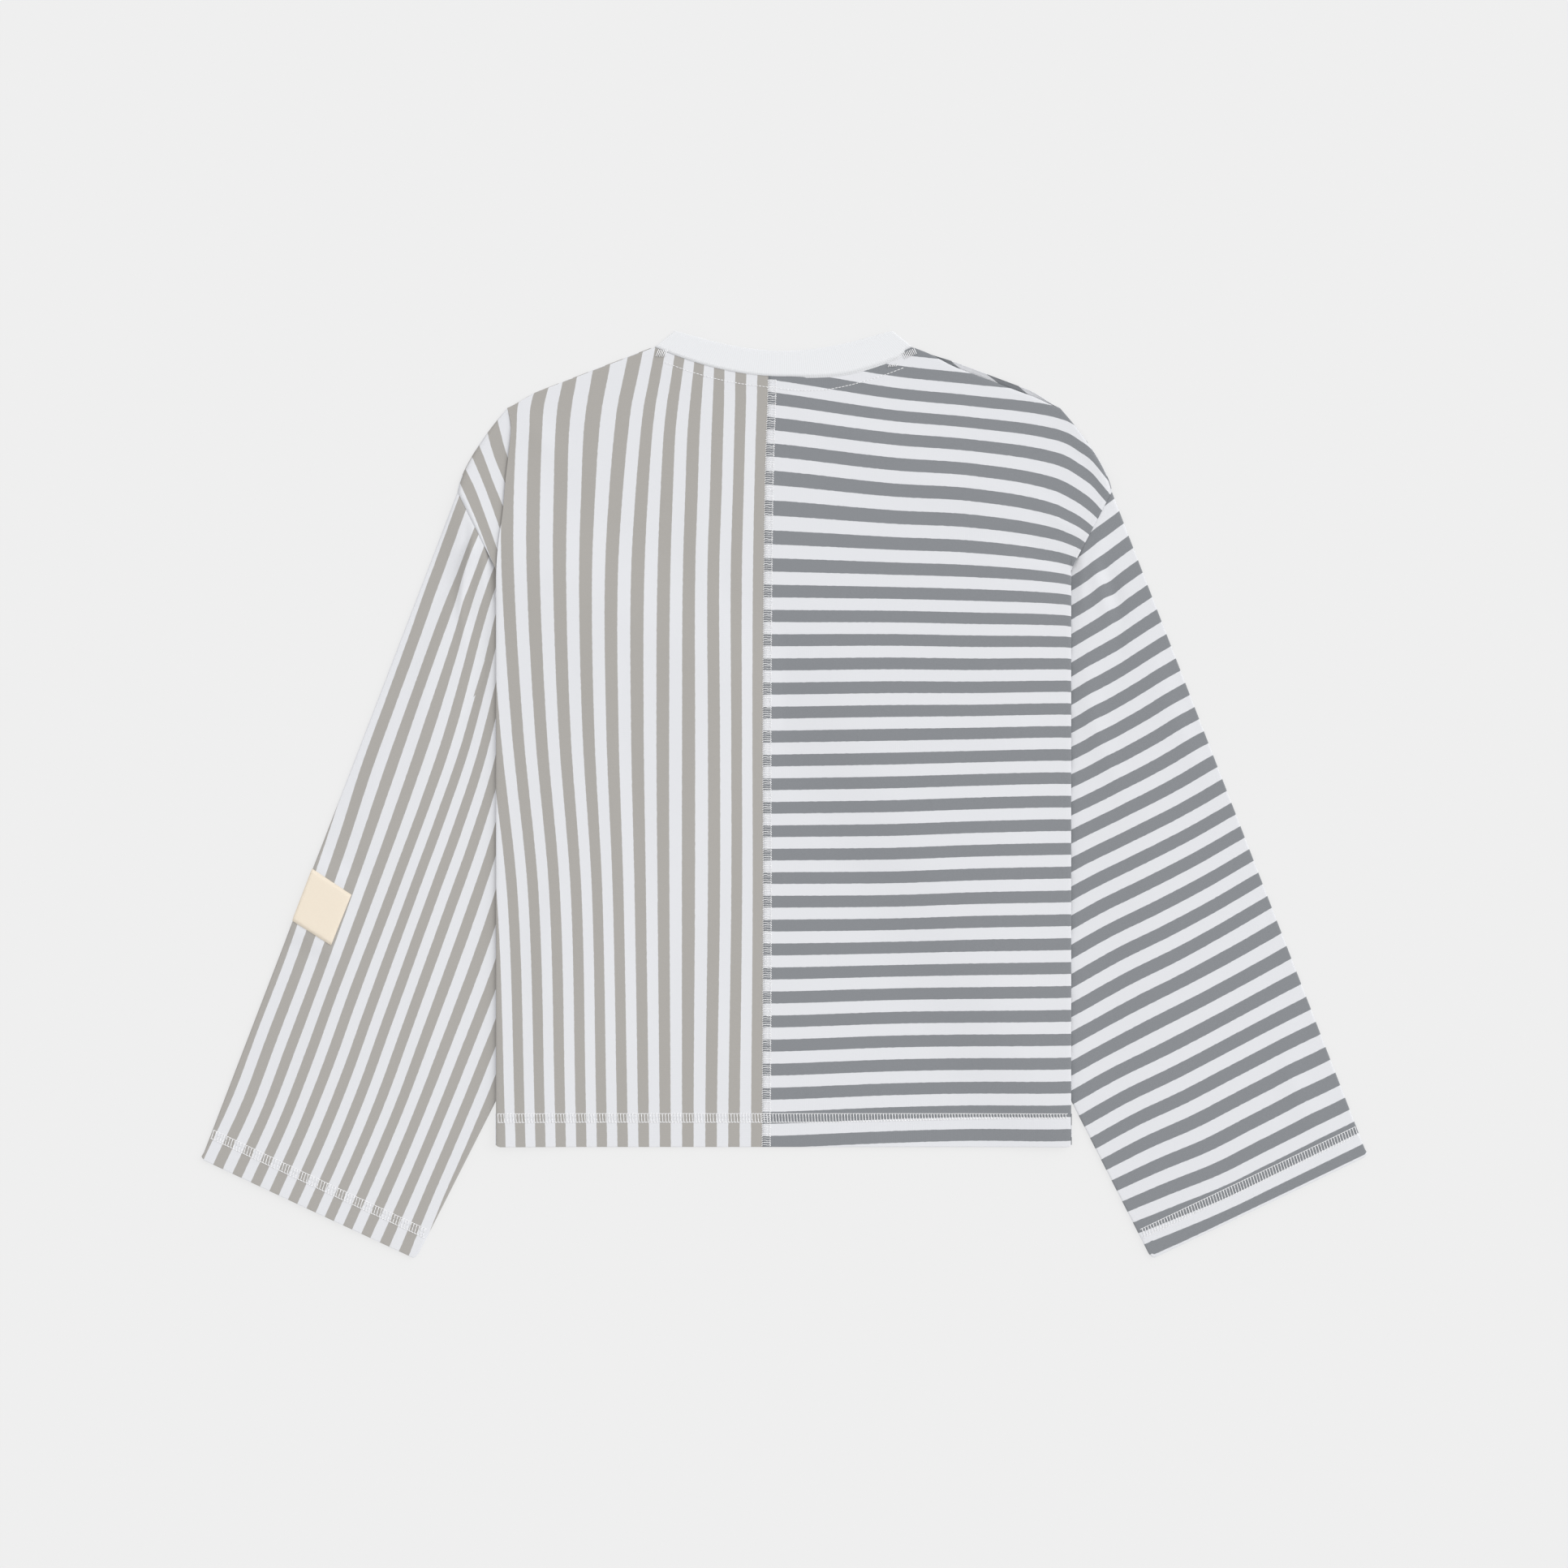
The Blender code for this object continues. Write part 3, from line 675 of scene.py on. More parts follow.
def panel_cloth(side, is_front, settings):
    """Half of the front or the back, with its hem turned up inside.

    Its columns run from the centre seam to the corner line, in under the tuck
    and out again where the panel has one, and on over the armhole corner.
    """
    step = settings.grid_step / MM
    levels = spaced(HEM_UP, CORNER_UP, step, EDGE_GAPS, EDGE_GAPS)
    turned = [(0.5, 0.13), (0.95, 0.5), (TURNED_LAYER, 1.2)]
    turned += [(TURNED_LAYER, up) for up in (6, 12, 18, 24, settings.hem_depth / MM)]
    shares = spaced(0.0, 1.0, step / PANEL_WIDTH, (), tuple(gap / PANEL_WIDTH for gap in EDGE_GAPS))
    is_tucked = side < 0 and not is_front
    under = np.linspace(0, 1, 5)[1:] if is_tucked else np.array([])
    over = np.linspace(0, 1, 11)
    tuck_in = slice(len(shares), len(shares) + len(under))
    tuck_out = slice(tuck_in.stop, tuck_in.stop + len(under))
    corner = slice(tuck_out.stop, tuck_out.stop + len(over))
    rows = len(levels) + len(turned)
    x, y, drop, slanted = (np.zeros((rows, corner.stop)) for _ in range(4))
    line_top = corner_line(side, np.array(CORNER_UP))
    top_x = mix(-side * np.abs(centre_seam(NECK_UP - 20)), line_top, shares)
    top_y = top_up(side, np.abs(top_x), is_front)
    for row in range(rows):
        is_turned = row < len(turned)
        level = HEM_UP if is_turned else levels[row - len(turned)]
        share = (level - HEM_UP) / (CORNER_UP - HEM_UP)
        y[row, :tuck_in.start] = mix(HEM_UP, top_y, share)
        y[row, tuck_in.start:] = level
        seam = side * centre_seam(y[row, 0])
        line = float(corner_line(side, np.array(level)))
        x[row, :tuck_in.start] = mix(seam, line, shares)
        x[row, corner] = mix(line, float(corner_edge(side, np.array(level))), over)
        if is_tucked:
            depth = settings.tuck_depth / MM * tuck_share(level)
            x[row, tuck_in] = line - depth * under
            x[row, tuck_out] = line - depth * (1 - under)
            folded = float(tuck_height(np.array(line), np.array(level)))
            drop[row, tuck_in] = folded * 0.5 * smooth(under * 3)
            drop[row, tuck_out.start:] = folded
            slanted[row, tuck_out.start:] = level > DIP_UP - 12
        if is_turned:
            drop[row], up = turned[len(turned) - 1 - row]
            y[row] = HEM_UP + up
    drawn_in = (1 - smooth((HALF_CHEST - x) / 3)) ** 2 * (1 - smooth((y - HEM_UP) / 12))
    y = y + 1.8 * drawn_in
    edge_x = np.where(y < DIP_UP, HALF_CHEST, corner_edge(side, y))
    away_side = np.where((y < DIP_UP) | (y > TIP_UP), edge_x - x, 9.0)
    away_top = np.where(x > NECK_HALF - 8, shoulder_up(side, np.maximum(x, 0), is_front) - y, 9.0)
    turn_in = roll(np.clip(np.minimum(away_side, away_top), 0, 9))
    turn_in = turn_in + np.where(np.arange(rows)[:, None] < len(turned), 0.0, hem_turn(y - HEM_UP))
    x = side * x
    from_seam = (edge_x - np.abs(x)) * 0.85
    ridge = SEAM_RIDGE * np.exp(-(((from_seam - 1.6) / 1.6) ** 2)) * smooth((y - DIP_UP + 4) / 8)
    ridge = ridge * smooth((TIP_UP + 2 - y) / 4) * (np.arange(corner.stop) >= corner.start)
    if is_front:
        z = front_height(side, x, y) + turn_in + drop - ridge
    else:
        lifted = tuck_height(x, y) if is_tucked else 0.0
        z = back_height(x, y) + lifted - turn_in - drop + ridge
    number, grain = panel_stripe(side, is_front, x, y, slanted > 0)
    return lay_grid(x, y, z, number, grain, is_flipped=(side < 0) != is_front)


def sleeve_cloth(side, settings):
    """A flattened tube, with its cuff's hem turned up inside.

    The columns go once round the tube. The rows go from the armhole's seam
    allowance to the cuff, and back up inside it. A row's move is how far out
    it lies from the sleeve's outside.
    """
    step, near_fold = settings.sleeve_step / MM, (0.012,)
    fold = range(-90, 91, 15)
    upper = spaced(0.0, 1.0, step / SLEEVE_WIDTH, near_fold, near_fold)[1:-1]
    lower = spaced(0.0, 1.0, 2 * settings.grid_step / MM / SLEEVE_WIDTH, near_fold, near_fold)[1:-1]
    places = [("lower", share) for share in lower[::-1]]
    places += [("outer", turn) for turn in fold]
    places += [("upper", share) for share in upper]
    places += [("inner", turn) for turn in reversed(fold)]
    places += [("lower", lower[-1])]
    near_cuff = tuple(gap / SLEEVE_LENGTH for gap in (0.12, 0.4, 1.0))
    alongs = list(spaced(0.0012, 1.0, 1.15 * step / SLEEVE_LENGTH, (), near_cuff))
    moves = [-hem_turn((1 - along) * SLEEVE_LENGTH) for along in alongs]
    alongs = [-0.0045, -0.0015, -0.0004] + alongs
    moves = [-0.75, -0.6, -0.3] + moves
    for depth in (0.13, 0.5, 1.2, 6, 12, 18, settings.hem_depth / MM):
        alongs.append(1 - depth / SLEEVE_LENGTH)
        moves.append(hem_turn(depth) - TURNED_LAYER)
    alongs, moves = np.array(alongs), np.array(moves)
    at_cuff = smooth((alongs - 0.96) / 0.04)
    x, y, z, number, grain = (np.zeros((len(alongs), len(places))) for _ in range(5))
    for column, place in enumerate(places):
        px, py, pz, across = sleeve_point(side, alongs, place, moves)
        is_under = place[0] == "lower" or (place[0] == "outer" and place[1] < 0)
        is_under = is_under or (place[0] == "inner" and place[1] < -80)
        number[:, column], grain[:, column] = sleeve_stripe(side, px, py, "lower" if is_under else "upper")
        x[:, column], y[:, column], z[:, column] = px, py + cuff_corner(side, px) * at_cuff, pz
    return lay_grid(x, y, z, number, grain, is_flipped=side < 0)


def neckband_cloth():
    """The rib, folded double at its free edge, as a flattened ring.

    The columns go once round the neck. A row has its distance up from the
    neck seam, and its depth below the band's outside.
    """
    middle = RIB_STACK / 2
    outs = np.linspace(-1, 1, 121) * (NECK_HALF - middle)
    columns = [("back", out, 90) for out in outs]
    columns += [("tip", NECK_HALF, turn) for turn in range(75, -76, -15)]
    columns += [("front", out, -90) for out in reversed(outs)]
    columns += [("tip", -NECK_HALF, turn) for turn in range(-75, 76, 15)]
    columns.append(columns[0])
    reach = RIB_WIDTH - RIB_FOLD
    rows = [(-1.2, 1.15), (-0.5, 0.95), (-0.05, 0.4)]
    rows += [(reach * share, 0.0) for share in np.linspace(0, 1, 9)]
    rows += [
        (reach + RIB_FOLD * math.sin(turn), RIB_FOLD * (1 - math.cos(turn)))
        for turn in np.radians((22.5, 45, 67.5, 90, 112.5, 135, 157.5))
    ]
    rows += [(reach * share, 2 * RIB_FOLD) for share in np.linspace(1, 0, 5)]
    x, y, z, number, grain = (np.zeros((len(rows), len(columns))) for _ in range(5))
    run, last = 0.0, None
    for column, (part, out, turn) in enumerate(columns):
        side, turn = math.copysign(1.0, out), math.radians(turn)
        ratio = min(1.0, abs(out) / (NECK_HALF - middle))
        lean = RIB_LEAN * ratio ** RIB_LEAN_CURVE
        if part == "front":
            lean = mix(RIB_LEAN, ratio, float(smooth((1 - ratio) * 8)))
        seam_y = float(neck_up(np.array(ratio * NECK_HALF), part == "front"))
        centre = side * (NECK_HALF - middle) if part == "tip" else out
        lap = RIB_LAP * float(smooth(out / 60) * smooth((103 - out) / 10)) if part == "back" else 0.0
        for row, (up, deep) in enumerate(rows):
            if row < 3 and lap > 0:
                deep *= mix(1.0, 0.4, min(1.0, lap))
            up -= lap * max(0.0, 1 - max(up, 0) / reach)
            radius = middle - deep
            sideways = side * radius * math.cos(turn) if part == "tip" else 0.0
            x[row, column] = centre - side * up * lean + sideways
            y[row, column] = seam_y + up * math.sqrt(1 - lean ** 2)
            z[row, column] = middle + radius * math.sin(turn)
            grain[row, column] = up + deep
        here = (x[0, column], y[0, column])
        run += math.dist(here, last or here)
        last = here
        number[:, column] = run
    return lay_grid(x, y, z, number, grain)


def label_cloth():
    """The patch, from its lower end round the sleeve's edge to its upper end."""
    rows = np.linspace(0, 1, 15)
    width = float(sleeve_plan(-1, np.array(LABEL_FROM), np.array(0.0))[2])
    places = [("lower", share * LABEL_BELOW / width) for share in (1, 0.97, 0.75, 0.5, 0.25, 0.1)]
    places += [("outer", turn) for turn in range(-90, 91, 15)]
    places += [("upper", share * LABEL_ABOVE / width) for share in np.linspace(0.08, 0.97, 12)]
    places += [("upper", LABEL_ABOVE / width)]
    shape = (len(rows), len(places))
    x, y, z, number, grain = (np.zeros(shape) for _ in range(5))
    for column, place in enumerate(places):
        layer, value = place
        share = value if layer in ("upper", "lower") else 0.0
        alongs = mix(LABEL_FROM, LABEL_TO, rows) + LABEL_SKEW * share
        edge = np.minimum(rows, 1 - rows) * LABEL_LENGTH
        out = 0.15 + LABEL_WALL - 0.25 * np.exp(-(edge / 0.8) ** 2)
        if column in (0, shape[1] - 1):
            out = out - 0.25
        x[:, column], y[:, column], z[:, column], _ = sleeve_point(-1, alongs, place, out)
        number[:, column] = column * 3.0
        grain[:, column] = rows * LABEL_LENGTH
    return lay_grid(x, y, z, number, grain, is_flipped=True)


# ------------------------------------------------------------------- materials

class Wiring:
    """Adds and links the nodes of one material."""

    def __init__(self, name):
        self.material = bpy.data.materials.new(name)
        self.material.use_nodes = True
        self.tree = self.material.node_tree
        self.shader = self.tree.nodes["Principled BSDF"]

    def node(self, kind, **inputs):
        made = self.tree.nodes.new(kind)
        for name, value in inputs.items():
            self.put(made.inputs[name.replace("_", " ")], value)
        return made

    def put(self, socket, value):
        if isinstance(value, bpy.types.NodeSocket):
            self.tree.links.new(value, socket)
        else:
            socket.default_value = value

    def sum(self, operation, first, second=0.0, third=0.0):
        made = self.tree.nodes.new("ShaderNodeMath")
        made.operation = operation
        for socket, value in zip(made.inputs, (first, second, third)):
            self.put(socket, value)
        return made.outputs[0]

    def places(self):
        """The place on the object, and across and along the cloth."""
        where = self.node("ShaderNodeTexCoord").outputs["Object"]
        cloth = self.node("ShaderNodeUVMap")
        cloth.uv_map = "stripes"
        split = self.node("ShaderNodeSeparateXYZ", Vector=cloth.outputs["UV"])
        return where, split.outputs["X"], split.outputs["Y"]

    def noise(self, where, scale, detail=2.0):
        made = self.node("ShaderNodeTexNoise", Vector=where, Scale=scale, Detail=detail)
        return made.outputs["Fac"]

    def blend(self, share, first, second):
        made = self.tree.nodes.new("ShaderNodeMix")
        made.data_type = "RGBA"
        self.put(made.inputs["Factor"], share)
        self.put(made.inputs["A"], first)
        self.put(made.inputs["B"], second)
        return made.outputs["Result"]

    def bump(self, height, strength, distance):
        made = self.node("ShaderNodeBump", Height=height, Strength=strength, Distance=distance)
        self.put(self.shader.inputs["Normal"], made.outputs["Normal"])


def rgba(colour):
    """An opaque colour for a socket."""
    return (colour[0], colour[1], colour[2], 1.0)


def cloth_look(wiring, roughness, sheen):
    """Finishes a material as dull cloth with a soft sheen."""
    wiring.put(wiring.shader.inputs["Roughness"], roughness)
    wiring.put(wiring.shader.inputs["Sheen Weight"], sheen)
    wiring.put(wiring.shader.inputs["Sheen Roughness"], 0.6)
    wiring.put(wiring.shader.inputs["Specular IOR Level"], 0.2)
    return wiring.material


def jersey(name, stripe_colour, settings):
    """Single jersey with printed stripes, whose courses run along the stripes."""
    wiring = Wiring(name)
    where, number, grain = wiring.places()
    unevenness = wiring.sum("SUBTRACT", wiring.noise(where, 260.0), 0.5)
    shifted = wiring.sum("MULTIPLY_ADD", unevenness, STRIPE_WANDER, number)
    wave = wiring.sum("SINE", wiring.sum("MULTIPLY", shifted, math.pi))
    mask = wiring.sum("MULTIPLY_ADD", wave, STRIPE_SHARPNESS, 0.5)
    mask = wiring.node("ShaderNodeClamp", Value=mask).outputs[0]
    speckle = wiring.noise(where, 2600.0, 1.0)
    white = rgba(settings.cloth_white)
    worn = wiring.blend(wiring.sum("MULTIPLY", speckle, 0.16), rgba(stripe_colour), white)
    dim = wiring.blend(wiring.sum("MULTIPLY", speckle, 0.05), white, rgba(settings.fibre_shade))
    wiring.put(wiring.shader.inputs["Base Color"], wiring.blend(mask, dim, worn))
    wale = wiring.sum("FRACT", wiring.sum("DIVIDE", grain, settings.wale_width / MM))
    lean = wiring.sum("ABSOLUTE", wiring.sum("SUBTRACT", wale, 0.5))
    course = wiring.sum("MULTIPLY", number, STRIPE_WIDTH / (settings.course_height / MM))
    loops = wiring.sum("MULTIPLY_ADD", lean, 1.3, course)
    stitch = wiring.sum("SINE", wiring.sum("MULTIPLY", loops, 2 * math.pi))
    groove = wiring.sum("POWER", wiring.sum("MULTIPLY", lean, 2.0), 3.0)
    height = wiring.sum("MULTIPLY_ADD", stitch, 0.25, wiring.sum("SUBTRACT", 1.0, groove))
    fuzz = wiring.sum("MULTIPLY_ADD", wiring.noise(where, 1500.0, 3.0), 0.5, height)
    wiring.bump(fuzz, settings.knit_strength, 0.12 * MM)
    return cloth_look(wiring, 0.88, 0.18)


def rib_knit(settings):
    """White rib, whose wales run across the neckband."""
    wiring = Wiring("white_rib_knit")
    where, round_neck, up = wiring.places()
    turn = wiring.sum("MULTIPLY", round_neck, 2 * math.pi / (settings.rib_pitch / MM))
    wale = wiring.sum("MULTIPLY_ADD", wiring.sum("SINE", turn), 0.5, 0.5)
    course = wiring.sum("SINE", wiring.sum("MULTIPLY", up, 2 * math.pi / RIB_COURSE))
    height = wiring.sum("MULTIPLY_ADD", course, 0.12, wale)
    fuzz = wiring.sum("MULTIPLY_ADD", wiring.noise(where, 1500.0, 3.0), 0.4, height)
    shade = wiring.sum("MULTIPLY", wiring.sum("SUBTRACT", 1.0, wale), 0.10)
    colour = wiring.blend(shade, rgba(settings.rib_white), rgba(settings.fibre_shade))
    wiring.put(wiring.shader.inputs["Base Color"], colour)
    wiring.bump(fuzz, 0.35, 0.2 * MM)
    return cloth_look(wiring, 0.85, 0.2)


def woven_label(settings):
    """Cream taffeta patch with a fine plain weave."""
    wiring = Wiring("cream_woven_label")
    where, across, along = wiring.places()
    warp = wiring.sum("SINE", wiring.sum("MULTIPLY", across, 2 * math.pi / LABEL_YARN))
    weft = wiring.sum("SINE", wiring.sum("MULTIPLY", along, 2 * math.pi / LABEL_YARN))
    weave = wiring.sum("MULTIPLY", warp, weft)
    slub = wiring.noise(where, 700.0, 3.0)
    uneven = wiring.sum("MULTIPLY", slub, 0.35)
    colour = wiring.blend(uneven, rgba(settings.label_cream), rgba(settings.label_shade))
    wiring.put(wiring.shader.inputs["Base Color"], colour)
    wiring.bump(wiring.sum("MULTIPLY_ADD", slub, 0.6, weave), 0.3, 0.1 * MM)
    return cloth_look(wiring, 0.7, 0.1)


def cotton_thread(settings):
    """White sewing thread with a fine twist."""
    wiring = Wiring("white_cotton_thread")
    where = wiring.node("ShaderNodeTexCoord").outputs["Object"]
    twist = wiring.noise(where, 4000.0, 2.0)
    shade = wiring.sum("MULTIPLY", twist, 0.2)
    colour = wiring.blend(shade, rgba(settings.thread_white), rgba(settings.fibre_shade))
    wiring.put(wiring.shader.inputs["Base Color"], colour)
    wiring.bump(twist, 0.3, 0.05 * MM)
    return cloth_look(wiring, 0.6, 0.15)


def pale_floor(settings):
    """A lit table top, so bright of itself that shadows on it stay faint."""
    wiring = Wiring("pale_floor")
    where = wiring.node("ShaderNodeTexCoord").outputs["Object"]
    grain = wiring.noise(where, 40.0, 3.0)
    pale = tuple(channel * (1 - FLOOR_GLOW) for channel in settings.floor_colour)
    dimmer = tuple(channel * 0.985 for channel in pale)
    colour = wiring.blend(wiring.sum("MULTIPLY", grain, 0.4), rgba(pale), rgba(dimmer))
    wiring.put(wiring.shader.inputs["Base Color"], colour)
    wiring.put(wiring.shader.inputs["Emission Color"], rgba((1.0, 1.0, 1.0)))
    wiring.put(wiring.shader.inputs["Emission Strength"], FLOOR_LIGHT * FLOOR_GLOW)
    wiring.put(wiring.shader.inputs["Roughness"], 0.95)
    wiring.put(wiring.shader.inputs["Specular IOR Level"], 0.1)
    return wiring.material


def look(name, make):
    """The named material, made the first time it is asked for."""
    return bpy.data.materials.get(name) or make()


def striped(side, settings):
    """The jersey of the shirt's left or right half."""
    name = "beige_striped_jersey" if side < 0 else "grey_striped_jersey"
    colour = settings.stripe_beige if side < 0 else settings.stripe_grey
    return look(name, lambda: jersey(name, colour, settings))


# --------------------------------------------------------------------- threads

def add_thread(threads, points, radius):
    """A thread through points in plan and height, in millimetres."""
    places = [Vector(((x - MIDDLE_X) * MM, (y - MIDDLE_Y) * MM, z * MM)) for x, y, z in points]
    for start, end in zip(places, places[1:]):
        line = end - start
        turn = line.to_track_quat("Z", "Y").to_matrix().to_4x4()
        place = Matrix.Translation((start + end) / 2) @ turn
        bmesh.ops.create_cone(
            threads, cap_ends=True, cap_tris=False, segments=6, radius1=radius * MM,
            radius2=radius * MM, depth=line.length + 0.6 * radius * MM, matrix=place,
        )


def ladder(threads, low_line, high_line, pitch, radius):
    """A coverstitch: two needle rows with threads that slant between them.

    The lines are functions from a distance along the band to a point.
    """
    for index in range(int(low_line.length / pitch)):
        at = index * pitch
        foot, knee = low_line(at + 0.35 * pitch), high_line(at + 0.15 * pitch)
        middle = [(a + b) / 2 for a, b in zip(foot, knee)]
        middle[2] += 0.35 * radius
        add_thread(threads, [foot, middle, knee], radius)
        add_thread(threads, [low_line(at + 0.1 * pitch), low_line(at + 0.95 * pitch)], radius)
        add_thread(threads, [high_line(at - 0.1 * pitch), high_line(at + 0.85 * pitch)], radius * 0.8)


class Line:
    """A line on the cloth, read by distance along it."""

    def __init__(self, length, point):
        self.length = length
        self.point = point

    def __call__(self, at):
        return list(self.point(min(max(at, 0.0), self.length)))


def back_face(side, x, y, out=THREAD_RISE):
    """Height just above the back's outer face."""
    x, y = np.array(float(x)), np.array(float(y))
    lifted = tuck_height(x, y) if side < 0 else 0.0
    return float(back_height(x, y) + lifted) + out


def hem_line(is_front, row):
    """A row of stitches along the whole hem, from its left end."""
    inset = 1.2

    def point(at):
        x = -HALF_CHEST + inset + at
        side = -1 if x < centre_seam(HEM_UP) else 1
        y = HEM_UP + HEM_STITCHES_UP[row]
        if side > 0 and not is_front:
            y = HEM_UP + mix(HEM_STITCHES_UP[row], RIGHT_STITCHES_UP[row], float(smooth(x / 230)))
        if is_front:
            return x, y, float(front_height(side, np.array(x), np.array(y))) - UNDER_RISE
        return x, y, back_face(side, x, y)

    return Line(2 * (HALF_CHEST - inset), point)


def cuff_line(side, up, is_under):
    """A row of stitches round half of the cuff, up from its end."""
    outer = math.hypot(CUFF_OUT[side] - TIP_OUT[side], CUFF_OUT_UP[side] - TIP_UP)
    inner = math.hypot(CUFF_IN - UNDERARM_OUT, CUFF_IN_UP - UNDERARM_UP)
    width = float(sleeve_plan(side, np.array(1 - up / outer), np.array(0.0))[2])
    layer, rise = ("lower", UNDER_RISE) if is_under else ("upper", THREAD_RISE)
    inset = 0.8

    def point(at):
        share = (at + inset) / width
        along = 1 - up / mix(outer, inner, share)
        x, y, z, _ = sleeve_point(side, np.array(along), (layer, share), rise)
        return float(x), float(y), float(z)

    return Line(width - 2 * inset, point)


def centre_stitches(settings):
    """The flat seam's loops, from the seam over the right half."""
    threads = bmesh.new()
    radius = settings.thread_radius / MM
    top = NECK_UP - BACK_NECK_DROP - 1.0
    for index in range(int((top - HEM_UP - 1) / SEAM_PITCH)):
        y = HEM_UP + 1 + index * SEAM_PITCH
        seam = float(centre_seam(np.array(y)))
        wobble = 0.35 * math.sin(index * 2.3)
        steps = (
            (-0.7, 0.1), (0.4, 0.9), (2.4 + wobble, 1.0), (4.6, 0.55 + wobble), (SEAM_BAND - 0.4, 0.9),
            (SEAM_BAND, 0.2), (SEAM_BAND - 0.9, -0.35),
        )
        points = [(seam + out, y + up, back_face(1, seam + max(out, 0.1), y, 0.16)) for out, up in steps]
        add_thread(threads, points, radius * (0.75 + 0.2 * math.sin(index * 1.7)))
    return threads


def neck_stitches(settings):
    """Single stitches below the back neck seam, and the ends of its overlock."""
    threads = bmesh.new()
    radius = settings.thread_radius / MM
    seam = float(centre_seam(np.array(345.0)))
    x = -NECK_HALF + 9
    while x < NECK_HALF - 9:
        points = []
        for step in (x, x + NECK_STITCH_PITCH - NECK_STITCH_GAP):
            y = float(neck_up(np.array(abs(step)), False))
            y -= mix(NECK_STITCHES_DOWN, RIGHT_STITCHES_DOWN, float(smooth((step + 25) / 65)))
            points.append((step, y, back_face(-1 if step < seam else 1, step, y)))
        add_thread(threads, points, radius * 0.85)
        x += NECK_STITCH_PITCH
    for end in OVERLOCK_ENDS:
        for index in range(end["loops"]):
            x = end["x"] + index * end["step"][0]
            y = end["y"] + index * end["step"][1]
            head = (x + end["lean"][0], y + end["lean"][1])
            points = [(*place, RIB_STACK + 0.1) for place in ((x, y), head)]
            add_thread(threads, points, radius * 1.1)
    return threads


# ---------------------------------------------------------------------- studio

def make_floor(settings):
    """A floor just below the shirt, which reaches past the view on all sides."""
    shape = bmesh.new()
    bmesh.ops.create_grid(shape, x_segments=1, y_segments=1, size=FLOOR_REACH)
    bmesh.ops.translate(shape, verts=shape.verts, vec=(0, 0, -FLOOR_DROP))
    mesh = bpy.data.meshes.new("floor")
    shape.to_mesh(mesh)
    shape.free()
    mesh.materials.append(pale_floor(settings))
    floor = bpy.data.objects.new("floor", mesh)
    bpy.context.scene.collection.objects.link(floor)


def make_lights():
    """Even light from all round, with a soft key and a weaker fill."""
    world = bpy.data.worlds.new("soft_studio")
    world.use_nodes = True
    background = world.node_tree.nodes["Background"]
    background.inputs["Color"].default_value = (1.0, 1.0, 1.0, 1.0)
    background.inputs["Strength"].default_value = ROOM_LIGHT
    bpy.context.scene.world = world
    for lamp in LAMPS:
        data = bpy.data.lights.new(lamp["name"], "SUN")
        data.energy = lamp["power"]
        data.angle = math.radians(lamp["spread"])
        light = bpy.data.objects.new(lamp["name"], data)
        light.location = lamp["place"]
        light.rotation_euler = (-Vector(lamp["place"])).to_track_quat("-Z", "Y").to_euler()
        bpy.context.scene.collection.objects.link(light)
    bpy.context.scene.view_settings.view_transform = "Standard"


def make_camera():
    """A camera straight above, whose view is VIEW_WIDTH metres wide."""
    data = bpy.data.cameras.new("camera")
    data.lens = 100.0
    data.sensor_width = 36.0
    camera = bpy.data.objects.new("camera", data)
    distance = VIEW_WIDTH * data.lens / data.sensor_width
    camera.location = ((VIEW_MIDDLE[0] - MIDDLE_X) * MM, (VIEW_MIDDLE[1] - MIDDLE_Y) * MM, distance)
    bpy.context.scene.collection.objects.link(camera)
    bpy.context.scene.camera = camera


# --------------------------------------------------------------- the operators

